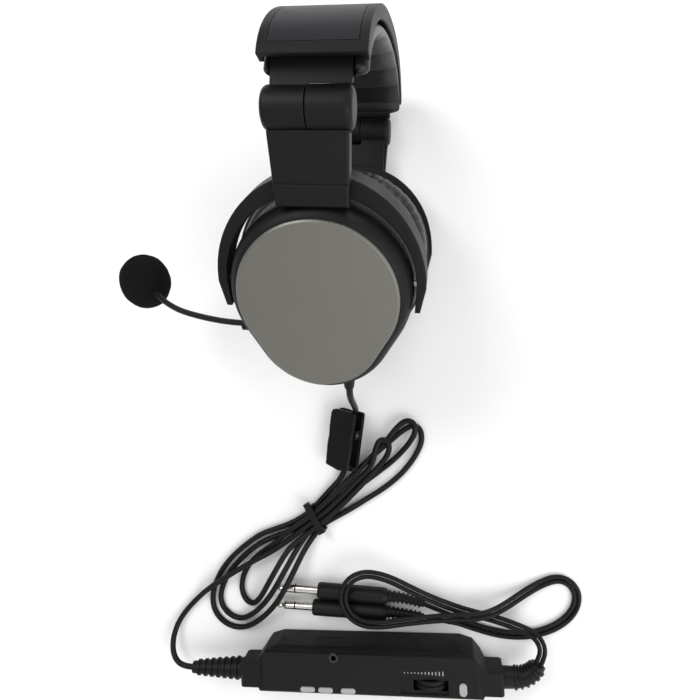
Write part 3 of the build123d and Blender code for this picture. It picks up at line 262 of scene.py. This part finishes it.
def worn_and_highlit_edges(tree, soft, colour, colour_out, wear_and_highlight):
    """Mix a paler colour in where the softened normal turns away from the face's own: partly edge wear, partly a
    painted highlight along the edges.
    """
    nodes, links = tree.nodes, tree.links
    face = nodes.new("ShaderNodeNewGeometry")
    turn = nodes.new("ShaderNodeVectorMath")
    turn.operation = "DOT_PRODUCT"
    links.new(soft.outputs["Normal"], turn.inputs[0])
    links.new(face.outputs["Normal"], turn.inputs[1])
    edge = nodes.new("ShaderNodeMapRange")
    edge.inputs["From Min"].default_value = 1.0
    edge.inputs["From Max"].default_value = WEAR_AND_HIGHLIGHT_TURN
    edge.inputs["To Max"].default_value = wear_and_highlight
    links.new(turn.outputs["Value"], edge.inputs["Value"])
    rubbed_and_highlit = nodes.new("ShaderNodeMix")
    rubbed_and_highlit.data_type = "RGBA"
    # paler colour for the edges: partly wear, partly a painted highlight
    rubbed_and_highlit.inputs["B"].default_value = tuple(min(1.0, c * 3 + 0.03) for c in colour) + (1,)
    links.new(edge.outputs["Result"], rubbed_and_highlit.inputs["Factor"])
    links.new(colour_out, rubbed_and_highlit.inputs["A"])
    return rubbed_and_highlit.outputs["Result"]


def surface(name, colour, rough, grain=1800, bump=0.15, mottle=0.12, bevel=0.0, wear_and_highlight=0.0, metallic=0.0,
            sheen=0.0, depth=0.0001, specular=0.17, brushed=(1, 1, 1)):
    """A moulded or metal surface: colour mottling, fine grain, soft edges and a paler colour along them that is
    partly wear and partly a painted highlight.
    """
    material = bpy.data.materials.new(name)
    material.use_nodes = True
    nodes, links = material.node_tree.nodes, material.node_tree.links
    shader = nodes["Principled BSDF"]
    shader.inputs["Metallic"].default_value = metallic
    shader.inputs["Sheen Weight"].default_value = sheen
    shader.inputs["Specular IOR Level"].default_value = specular
    # slow cloud: colour mottling and uneven gloss
    place = nodes.new("ShaderNodeTexCoord")
    cloud = nodes.new("ShaderNodeTexNoise")
    cloud.inputs["Scale"].default_value = CLOUD_SCALE
    cloud.inputs["Detail"].default_value = CLOUD_DETAIL
    links.new(place.outputs["Object"], cloud.inputs["Vector"])
    tint = nodes.new("ShaderNodeMapRange")
    tint.inputs["To Min"].default_value = 1 - mottle
    tint.inputs["To Max"].default_value = 1 + mottle
    links.new(cloud.outputs["Fac"], tint.inputs["Value"])
    base = nodes.new("ShaderNodeMix")
    base.data_type = "RGBA"
    base.blend_type = "MULTIPLY"
    base.inputs["Factor"].default_value = 1.0
    base.inputs["A"].default_value = (*colour, 1)
    links.new(tint.outputs["Result"], base.inputs["B"])
    colour_out = base.outputs["Result"]
    gloss = nodes.new("ShaderNodeMapRange")
    gloss.inputs["To Min"].default_value = rough - GLOSS_SPREAD
    gloss.inputs["To Max"].default_value = rough + GLOSS_SPREAD
    links.new(cloud.outputs["Fac"], gloss.inputs["Value"])
    links.new(gloss.outputs["Result"], shader.inputs["Roughness"])
    # fine grain, drawn out in one direction on brushed metal
    stretch = nodes.new("ShaderNodeMapping")
    stretch.inputs["Scale"].default_value = brushed
    links.new(place.outputs["Object"], stretch.inputs["Vector"])
    fine = nodes.new("ShaderNodeTexNoise")
    fine.inputs["Scale"].default_value = grain
    fine.inputs["Detail"].default_value = 2
    links.new(stretch.outputs["Vector"], fine.inputs["Vector"])
    relief = nodes.new("ShaderNodeBump")
    relief.inputs["Strength"].default_value = bump
    relief.inputs["Distance"].default_value = depth
    links.new(fine.outputs["Fac"], relief.inputs["Height"])
    if bevel:
        soft = nodes.new("ShaderNodeBevel")
        soft.samples = BEVEL_SAMPLES
        soft.inputs["Radius"].default_value = bevel
        links.new(soft.outputs["Normal"], relief.inputs["Normal"])
        # paler edges: partly wear, partly a painted highlight
        if wear_and_highlight:
            colour_out = worn_and_highlit_edges(material.node_tree, soft, colour, colour_out, wear_and_highlight)
    links.new(colour_out, shader.inputs["Base Color"])
    links.new(relief.outputs["Normal"], shader.inputs["Normal"])
    return material


# the edge paling in each look is partly wear and partly a painted highlight
LOOKS = {
    "satin_plate": dict(colour=(0.170, 0.167, 0.150), rough=0.40, grain=2400, bump=0.22, mottle=0.05,
                        bevel=0.0005, wear_and_highlight=0.30, metallic=0.8, brushed=(0.03, 1, 1)),
    "shell_plastic": dict(colour=(0.0055, 0.0055, 0.0062), rough=0.50, grain=2000, bump=0.25, mottle=0.15,
                          bevel=0.0007, wear_and_highlight=0.25),
    "dark_plastic": dict(colour=(0.0042, 0.0042, 0.0046), rough=0.46, grain=2000, bump=0.22, mottle=0.15,
                         bevel=0.0005, wear_and_highlight=0.25),
    "arm_plastic": dict(colour=(0.0052, 0.0052, 0.0058), rough=0.44, grain=2200, bump=0.20, mottle=0.12,
                        bevel=0.0007, wear_and_highlight=0.25),
    "panel_plastic": dict(colour=(0.013, 0.012, 0.0155), rough=0.48, grain=2200, bump=0.20, mottle=0.10,
                          bevel=0.0005, wear_and_highlight=0.2),
    "cushion_leather": dict(colour=(0.007, 0.007, 0.0078), rough=0.40, grain=700, bump=0.45, mottle=0.2,
                            sheen=0.05, depth=0.0003, specular=0.35),
    "steel": dict(colour=(0.45, 0.45, 0.45), rough=0.32, grain=900, bump=0.12, mottle=0.1, metallic=1.0,
                  brushed=(1, 0.05, 1)),
    "board": dict(colour=(0.02, 0.12, 0.05), rough=0.45, grain=1200, bump=0.2, mottle=0.15),
    "foam": dict(colour=(0.006, 0.006, 0.006), rough=0.95, grain=1400, bump=1.0, mottle=0.3, depth=0.0009,
                 specular=0.1),
    "cord_rubber": dict(colour=(0.006, 0.006, 0.0065), rough=0.45, grain=1500, bump=0.15, mottle=0.15),
    "tie_nylon": dict(colour=(0.006, 0.006, 0.006), rough=0.40, grain=1300, bump=0.2, mottle=0.1,
                      bevel=0.0003, wear_and_highlight=0.2),
    "nickel": dict(colour=(0.60, 0.58, 0.54), rough=0.22, grain=1600, bump=0.05, mottle=0.06, metallic=1.0),
    "cell_wrap": dict(colour=(0.05, 0.05, 0.05), rough=0.3, grain=900, bump=0.1, mottle=0.1),
    "button_silver": dict(colour=(0.34, 0.34, 0.35), rough=0.38, grain=2200, bump=0.12, mottle=0.06,
                          bevel=0.0004, wear_and_highlight=0.2),
}
MATERIALS = {name: surface(name, **look) for name, look in LOOKS.items()}
# nodes whose names start like this have softer edges, or a look apart from the rest of their slot
SPECIAL = {
    "yoke": surface("dark_plastic_round", (0.0052, 0.0052, 0.0057), rough=0.46, grain=2000, bump=0.22,
                    mottle=0.15, bevel=0.0018, wear_and_highlight=0.18),
    "headband_cover": surface("shell_plastic_round", (0.0055, 0.0055, 0.0062), rough=0.50, grain=2000,
                              bump=0.25, mottle=0.15, bevel=0.0016, wear_and_highlight=0.2),
    "audio_jack": surface("jack_metal", (0.055, 0.055, 0.055), rough=0.38, grain=1600, bump=0.1, mottle=0.1,
                          bevel=0.0003, wear_and_highlight=0.2, metallic=1.0),
}
PRINT = surface("tick_print", (0.30, 0.30, 0.31), rough=0.6, grain=2200, bump=0.1, mottle=0.1)


def finish_piece(piece, slot, body, *replaced):
    """Give a piece its material, its body and the CAD nodes that it stands for."""
    piece.data.materials.clear()
    piece.data.materials.append(MATERIALS[slot])
    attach(piece, body)
    if replaced:
        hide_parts(*replaced)


def dress_cad_nodes():
    """Put the procedural materials on every carried-over CAD node."""
    for part in frame["record"]["subparts"]:
        material = MATERIALS[part["material_slot"]]
        for start, special in SPECIAL.items():
            if part["node"].startswith(start):
                material = special
        for place in NODES[part["node"]].material_slots:
            place.material = material


# ---- cords
def make_cords():
    """The downlead with its tied hank, and the two plug cords."""
    route = DROP_ROUTE + HANK_FIRST + HANK_SECOND + HANK_THIRD + HANK_LAST + TAIL_ROUTE
    downlead = nurbs("downlead", route, CORD_D / 2)
    finish_piece(downlead, "cord_rubber", "cup_left", "downlead_drop", "downlead_hank", "downlead_tail")
    for name, shift, end, length in (
        ("headphone", PAIR_HALF_GAP, HEADPHONE_CORD_END, HEADPHONE_CORD_LENGTH),
        ("mic", -PAIR_HALF_GAP, MIC_CORD_END, MIC_CORD_LENGTH),
    ):
        route = beside(PAIR_ROUTE, shift) + end
        cord = nurbs(f"{name}_cord_line", route, PLUG_CORD_D / 2)
        finish_piece(cord, "cord_rubber", "cup_left", f"{name}_cord")


# ---- ear cushions, in millimetres in the right cup's own frame
CUP_TOP = (-3.3, 39.8)  # centre and radius of the teardrop's two ends
CUP_TIP = (-21.4, 31.0)
CUP_ARC_STEPS = (160, 100)
CUSHION_GROW = 9.0
CUSHION_LOW = 32.4
CUSHION_DEPTH = 26.0
CUSHION_AROUND = 528
CUSHION_SECTION = 40
BASE_POWERS = (0.42, 0.55)  # a squarer section at the base, a rounder one over the shoulders
SHOULDER_POWERS = (0.72, 0.80)
EAR_CENTRE_Y = -9.0
EAR_HALF = (22.0, 31.0)
PLEATS = 44
PLEAT_WANDER = 0.35
PLEAT_SHARPNESS = 2.2
PLEAT_DEEP = 0.9
PLEAT_START = -0.35
PLEAT_FADE = 0.5
PLEAT_SEED = {"right": 3.0, "left": 8.0}
BULGE = 0.35
BULGE_SIZE = 14
PIPING_R = 0.95
PIPING_UP = 6.2
PIPING_INSET = 0.15
PIPING_STEPS = 240
PIPING_AROUND = 8


def cup_outline(grow, count):
    """Points round the cup's teardrop, anticlockwise and evenly spaced."""
    slope = math.asin((CUP_TOP[1] - CUP_TIP[1]) / (CUP_TOP[0] - CUP_TIP[0]))
    arcs = (
        (CUP_TOP, -slope, math.pi + 2 * slope, CUP_ARC_STEPS[0]),
        (CUP_TIP, math.pi + slope, math.pi - 2 * slope, CUP_ARC_STEPS[1]),
    )
    dense = []
    for (centre_y, radius), start, sweep, steps in arcs:
        for i in range(steps + 1):
            angle = start + sweep * i / steps
            dense.append(Vector((
                (radius + grow) * math.cos(angle), centre_y + (radius + grow) * math.sin(angle), 0
            )))
    dense.append(dense[0])
    return [point for point, _ in even_points(dense, count)][:-1]


def pleat_depth(share, seed):
    """How deep the leather is drawn in at a share of the way round: sharp valleys, uneven in size."""
    wander = PLEAT_WANDER * ring_noise(share, 9, seed)
    wave = abs(math.sin(math.pi * (PLEATS * share + wander)))
    size = 0.75 + 0.5 * ring_noise(share, 23, seed + 5)
    return size * (1 - wave) ** PLEAT_SHARPNESS


def cushion_section(outer, pleat):
    """One section of the cushion, from the cup's edge in to the ear opening."""
    angle = math.atan2((outer.y - EAR_CENTRE_Y) / EAR_HALF[1], outer.x / EAR_HALF[0])
    inner = Vector((EAR_HALF[0] * math.cos(angle), EAR_CENTRE_Y + EAR_HALF[1] * math.sin(angle), 0))
    half, middle = (outer - inner) / 2, (outer + inner) / 2
    section = []
    for j in range(CUSHION_SECTION):
        phi = 2 * math.pi * j / CUSHION_SECTION
        across_power, rise_power = BASE_POWERS if math.sin(phi) < 0 else SHOULDER_POWERS
        across = signed_power(math.cos(phi), across_power)
        rise = signed_power(math.sin(phi), rise_power)
        strength = 0.0
        if rise > PLEAT_START:
            strength = PLEAT_DEEP * min(1.0, (rise - PLEAT_START) / PLEAT_FADE)
            strength *= 0.35 + 0.65 * abs(math.cos(phi))
        bulge = BULGE * noise.noise(Vector((outer.x / BULGE_SIZE, outer.y / BULGE_SIZE, across * 1.5 + rise)))
        height = CUSHION_LOW + CUSHION_DEPTH / 2 * (1 + rise)
        direction = half.normalized() * math.cos(phi) + Vector((0, 0, math.sin(phi)))
        point = middle + half * across + Vector((0, 0, height)) - direction * (strength * pleat - bulge / 2)
        if rise < -0.9:
            point.z = max(point.z, CUSHION_LOW)
        section.append(point)
    return section


def on_cup(side, points):
    """Points in metres on that side's cup, from millimetres on the right one."""
    metres = [point * MM for point in points]
    return metres if side == "right" else [mirrored(point) for point in metres]


def make_cushion(side):
    """Pleated leatherette ring: tight at its base, drawn in by pleats over its shoulders."""
    points = []
    for i, outer in enumerate(cup_outline(CUSHION_GROW, CUSHION_AROUND)):
        points += cushion_section(outer, pleat_depth(i / CUSHION_AROUND, PLEAT_SEED[side]))
    faces = ring_faces(CUSHION_AROUND, CUSHION_SECTION, closed_rings=True, flip=side == "right")
    cushion = mesh_piece(f"ear_seal_{side}", on_cup(side, points), faces)
    finish_piece(cushion, "cushion_leather", f"cup_{side}", f"ear_cushion_{side}")


def make_piping(side):
    """Piping along the seam between a cushion's pleated face and its base strip."""
    line = cup_outline(CUSHION_GROW - PIPING_INSET, PIPING_STEPS)
    up = Vector((0, 0, 1))
    points = []
    for i, place in enumerate(line):
        run = (line[(i + 1) % PIPING_STEPS] - line[i - 1]).normalized()
        out = Vector((run.y, -run.x, 0))
        points += circle(place + up * (CUSHION_LOW + PIPING_UP), out, up, PIPING_R, PIPING_AROUND)
    faces = ring_faces(PIPING_STEPS, PIPING_AROUND, closed_rings=True, flip=side == "right")
    piping = mesh_piece(f"ear_seal_piping_{side}", on_cup(side, points), faces)
    finish_piece(piping, "cushion_leather", f"cup_{side}")


# ---- headband padding: the arch and the pad in millimetres, the rail in metres
BAND_TOP = 112.7
BAND_HALF_T = 93.4
BAND_SPRING_V = 73.6
BAND_RISE = BAND_TOP - BAND_SPRING_V
BAND_POWER = 2.18
BAND_SHIFT = 0.0032
PAD_OUT = 6.6
PAD_IN = 15.0
PAD_HALF_W = 22.0
PAD_STEPS = 190
PAD_SECTION = 44
PAD_START = 1.4
PAD_SWEEP = 177.2
PAD_END = 0.035
PAD_POWERS = (0.42, 0.75)
PAD_CHANNELS = 9
PAD_WRINKLE = 0.0001
RAIL_ANGLE = math.radians(29)
RAIL_OUT = Vector((0, math.sin(RAIL_ANGLE), -math.cos(RAIL_ANGLE)))
RAIL_ALONG = Vector((0, math.cos(RAIL_ANGLE), math.sin(RAIL_ANGLE)))
RAIL_START = Vector((0, 0.0813, 0.0093)) + RAIL_OUT * 0.004
RAIL_RUN = (-0.008, 0.0312)
RAIL_CLEAR = 0.0024
RAIL_CLEAR_HALF_W = 0.0185
RAIL_SHIFT = 0.0016


def band_point(angle, inward):
    """Point of the band's arch at an angle from its right end, set in by a distance, in metres."""
    reach = math.radians(angle)
    power = 2 / BAND_POWER
    across = BAND_HALF_T * abs(math.cos(reach)) ** power
    rise = BAND_RISE * math.sin(reach) ** power
    normal_t = (across / BAND_HALF_T) ** (BAND_POWER - 1) / BAND_HALF_T
    normal_v = (rise / BAND_RISE) ** (BAND_POWER - 1) / BAND_RISE
    size = math.hypot(normal_t, normal_v)
    side = -1 if angle < 90 else 1
    v = BAND_SPRING_V + rise - inward * normal_v / size
    t = side * (across - inward * normal_t / size)
    s, c = math.sin(TILT), math.cos(TILT)
    return Vector((0, v * c - t * s, MID_HEIGHT + v * s + t * c)) * MM


def clear_of_rail(point):
    """Keep the padding off the sliding rails: push what would cover one in to its inner face."""
    for turn in (Vector, mirrored):
        p = turn(point)
        height = (p - RAIL_START).dot(RAIL_OUT)
        run = (p - RAIL_START).dot(RAIL_ALONG)
        beside_rail = abs(p.x - RAIL_SHIFT) < RAIL_CLEAR_HALF_W
        if height > -RAIL_CLEAR and RAIL_RUN[0] < run < RAIL_RUN[1] and beside_rail:
            point = turn(p - RAIL_OUT * (height + RAIL_CLEAR))
    return point


def make_pad():
    """Long crowned pad with sewn channels across it and rounded ends."""
    points = []
    for i in range(PAD_STEPS + 1):
        share = i / PAD_STEPS
        angle = PAD_START + PAD_SWEEP * share
        end = min(1.0, min(share, 1 - share) / PAD_END)
        round_end = math.sqrt(max(0.0, 1 - (1 - end) ** 2))
        channel = abs(math.sin(math.pi * PAD_CHANNELS * share))
        puff = 0.62 + 0.38 * min(1.0, channel ** 0.45)
        width = PAD_HALF_W * MM * (0.86 + 0.14 * round_end) * (1 - 0.012 * (1 - puff))
        outer, inner = band_point(angle, PAD_OUT), band_point(angle, PAD_IN)
        inward = (inner - outer).normalized()
        thick = (inner - outer).length
        for j in range(PAD_SECTION):
            phi = 2 * math.pi * j / PAD_SECTION
            across = signed_power(math.cos(phi), PAD_POWERS[0])
            depth = signed_power(math.sin(phi), PAD_POWERS[1])
            crown = 1 - 0.28 * abs(across) ** 3
            grow = thick / 2 * depth * (puff * crown if depth > 0 else 1.0)
            wrinkle = PAD_WRINKLE * noise.noise(Vector((across * 4, share * 14, depth * 2)))
            point = outer + inward * (thick / 2 + grow * (0.55 + 0.45 * round_end) + wrinkle)
            point.x = BAND_SHIFT + across * width
            points.append(clear_of_rail(point))
    pad = mesh_piece("headband_cushion", points, capped_faces(PAD_STEPS + 1, PAD_SECTION))
    finish_piece(pad, "cushion_leather", "headband", "headband_pad")


# ---- microphone foam and gooseneck
FOAM_R = 14.8
FOAM_HALF_L = 16.4
FOAM_AHEAD = 8.2
FOAM_AXIS = Vector((-0.1, 0.99, 0.03)).normalized()
FOAM_SIDE = Vector((0.3, 0, 0.95))
FOAM_RINGS = 96
FOAM_AROUND = 144
FOAM_ROUGHNESS = ((34, 0.24), (70, 0.16), (2.1, 0.35))  # scale and height of cells, small cells and lumps
BOOM_R = 0.0017
BOOM_PITCH = 0.0015
BOOM_RING_STEPS = 4
BOOM_AROUND = 16


def make_foam():
    """Egg-shaped open-cell foam, its surface rough from the cut cells."""
    tip = Vector(BOOM_ROUTE[-1])
    centre = tip + (tip - Vector(BOOM_ROUTE[-2])).normalized() * FOAM_AHEAD * MM
    side = (FOAM_SIDE - FOAM_AXIS * FOAM_SIDE.dot(FOAM_AXIS)).normalized()
    third = FOAM_AXIS.cross(side)
    points = []
    for i in range(FOAM_RINGS):
        theta = math.pi * (i + 0.5) / FOAM_RINGS
        for spoke in circle(Vector(), side, third, math.sin(theta), FOAM_AROUND):
            unit = FOAM_AXIS * math.cos(theta) + spoke
            egg = FOAM_AXIS * math.cos(theta) * FOAM_HALF_L + spoke * FOAM_R
            rough = sum(noise.noise(unit * scale) * height for scale, height in FOAM_ROUGHNESS)
            points.append(mirrored(centre + (egg + unit * rough) * MM))
    foam = mesh_piece("foam_windscreen", points, capped_faces(FOAM_RINGS, FOAM_AROUND))
    finish_piece(foam, "foam", "boom_arm", "mic_windscreen")


def spline_line(route):
    """Points down the middle of the route's smooth spline."""
    bare = nurbs("line_only", route, 0)
    bare.data.use_fill_caps = False
    bare.data.resolution_u = 24
    mesh = bpy.data.meshes.new_from_object(bare)
    line = [v.co.copy() for v in mesh.vertices]
    bpy.data.meshes.remove(mesh)
    bpy.data.curves.remove(bare.data)
    return line


def make_boom():
    """Gooseneck: a tube with fine rings all the way along."""
    line = spline_line(BOOM_ROUTE)
    count = int(line_length(line) / BOOM_PITCH) * BOOM_RING_STEPS
    points = []
    for i, (centre, run) in enumerate(even_points(line, count)):
        side = run.cross(Vector((0, 1, 0))).normalized()
        radius = BOOM_R * (0.93 + 0.07 * math.sin(2 * math.pi * i / BOOM_RING_STEPS))
        points += [mirrored(p) for p in circle(centre, side, run.cross(side), radius, BOOM_AROUND)]
    boom = mesh_piece("boom_gooseneck", points, capped_faces(count + 1, BOOM_AROUND))
    finish_piece(boom, "cord_rubber", "boom_arm", "boom")


# ---- small printed and moulded details
BOX_PLACE = Vector((0.024, -0.279, 0))
BOX_TURN = math.radians(5.5)
BOX_TOP = 0.0275
TICKS = 12
TICK_START = 24.5
TICK_ROW = 25.0
TICK_Y = 0.9
TICK_HALF_W = 0.42
TICK_SIZES = (0.5, 2.6)
TICK_HEIGHTS = (-0.0002, 0.00008)
TICK_AROUND = 16
PLUG_HEIGHT = 6.4
PLUG_GROOVES = (6.65, 13.45)
PLUG_RING_PROFILE = ((0, 0.90), (0.05, 0.975), (0.9, 0.975), (0.95, 0.90))  # along, share of the radius
PLUG_RING_AROUND = 32


def on_box(x, y, z):
    """A point from the box's middle: x and y in its own turned frame in millimetres, z in metres."""
    turned = Matrix.Rotation(BOX_TURN, 3, "Z") @ Vector((x, y, 0)) * MM
    return BOX_PLACE + turned + Vector((0, 0, z))


def make_ticks():
    """Row of growing printed bars beside the volume wheels, with rounded ends."""
    points, faces = [], []
    for i in range(TICKS):
        share = i / (TICKS - 1)
        x = TICK_START + TICK_ROW * share
        tall = TICK_SIZES[0] + TICK_SIZES[1] * share ** 1.3
        straight = max(0.0, tall / 2 - TICK_HALF_W)
        rim = []
        for j in range(TICK_AROUND):
            phi = 2 * math.pi * j / TICK_AROUND
            end = straight if math.sin(phi) > 0 else -straight
            rim.append((x + TICK_HALF_W * math.cos(phi), TICK_Y + end + TICK_HALF_W * math.sin(phi)))
        base = len(points)
        for height in TICK_HEIGHTS:
            points += [on_box(px, py, BOX_TOP + height) for px, py in rim]
        faces += [tuple(base + v for v in face) for face in capped_faces(2, TICK_AROUND)]
    ticks = mesh_piece("volume_ticks", points, faces)
    ticks.data.materials.append(PRINT)
    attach(ticks, "cup_left")


def make_plug_rings():
    """Black insulating rings in the grooves of the two plug shafts."""
    up = Vector((0, 0, 1))
    for name, joint, turn, radius, length in (
        ("headphone", (-15.4, -237.0), 1.5, 3.175, 30.2),
        ("mic", (-18.4, -249.3), 2.5, 2.615, 27.0),
    ):
        heading = Vector((math.cos(math.radians(turn)), math.sin(math.radians(turn)), 0))
        side = Vector((-heading.y, heading.x, 0))
        start = Vector((*joint, PLUG_HEIGHT)) - heading * length
        points, faces = [], []
        for groove in PLUG_GROOVES:
            base = len(points)
            for along, share in PLUG_RING_PROFILE:
                centre = start + heading * (groove + along)
                points += [p * MM for p in circle(centre, side, up, radius * share, PLUG_RING_AROUND)]
            ring = ring_faces(len(PLUG_RING_PROFILE), PLUG_RING_AROUND, closed_rings=True)
            faces += [tuple(base + v for v in face) for face in ring]
        finish_piece(mesh_piece(f"{name}_plug_rings", points, faces), "dark_plastic", "cup_left")


# ---- floor, lights and camera
FLOOR_HALF = 30
FLOOR_Z = -0.0002
LIGHT_HEADING = (0.62, -0.62, 0.48)
WORLD_DARK = (0.35, 0.35, 0.36, 1)
WORLD_BRIGHT = (1.25, 1.25, 1.23, 1)
LAMPS = (  # name, place, target, size and power
    ("key", (-0.55, 0.45, 1.0), (0, -0.05, 0.05), 0.7, 7),
    ("fill", (0.8, -0.5, 0.9), (0, -0.1, 0), 0.9, 5),
    ("rim", (0.3, 1.0, 0.6), (0, 0, 0.08), 0.5, 4),
)


def make_floor():
    """Pale floor with a faint texture, wide enough to fill any view."""
    corners = [(sx * FLOOR_HALF, sy * FLOOR_HALF, FLOOR_Z) for sx, sy in ((-1, -1), (1, -1), (1, 1), (-1, 1))]
    floor = mesh_piece("floor", corners, [(0, 1, 2, 3)])
    floor.data.materials.append(surface("floor_paper", (0.86, 0.86, 0.86), 0.6, grain=400, bump=0.03,
                                        mottle=0.01))


def make_world():
    """Soft surroundings, brighter towards one side."""
    world = bpy.data.worlds.new("studio")
    bpy.context.scene.world = world
    world.use_nodes = True
    nodes, links = world.node_tree.nodes, world.node_tree.links
    heading = nodes.new("ShaderNodeTexCoord")
    facing = nodes.new("ShaderNodeVectorMath")
    facing.operation = "DOT_PRODUCT"
    facing.inputs[1].default_value = LIGHT_HEADING
    links.new(heading.outputs["Generated"], facing.inputs[0])
    ramp = nodes.new("ShaderNodeValToRGB")
    dark, bright = ramp.color_ramp.elements
    dark.position, dark.color = 0.0, WORLD_DARK
    bright.position, bright.color = 0.9, WORLD_BRIGHT
    links.new(facing.outputs["Value"], ramp.inputs["Fac"])
    links.new(ramp.outputs["Color"], nodes["Background"].inputs["Color"])
    nodes["Background"].inputs["Strength"].default_value = 1.0


def make_lamps():
    """Three round area lights, each turned to its target."""
    for name, place, target, size, power in LAMPS:
        data = bpy.data.lights.new(name, "AREA")
        data.shape = "DISK"
        data.size = size
        data.energy = power
        lamp = bpy.data.objects.new(name, data)
        lamp.location = place
        lamp.rotation_euler = (Vector(target) - Vector(place)).to_track_quat("-Z", "Y").to_euler()
        bpy.context.collection.objects.link(lamp)


def make_camera():
    """The camera at the photograph's viewing angle."""
    data = bpy.data.cameras.new("camera")
    data.lens = CAMERA_LENS
    data.sensor_width = 36
    data.clip_start = 0.01
    camera = bpy.data.objects.new("camera", data)
    turn = Matrix.Identity(3)
    for angle, axis in zip(CAMERA_TURN, "XYZ"):
        turn = Matrix.Rotation(math.radians(angle), 3, axis) @ turn
    camera.matrix_world = Matrix.Translation(CAMERA_PLACE) @ turn.transposed().to_4x4()
    bpy.context.collection.objects.link(camera)
    bpy.context.scene.camera = camera
    bpy.context.scene.view_settings.view_transform = "Standard"


dress_cad_nodes()
make_floor()
make_world()
make_lamps()
make_camera()
make_cords()
for cup_side in ("right", "left"):
    make_cushion(cup_side)
    make_piping(cup_side)
make_pad()
make_foam()
make_boom()
make_ticks()
make_plug_rings()
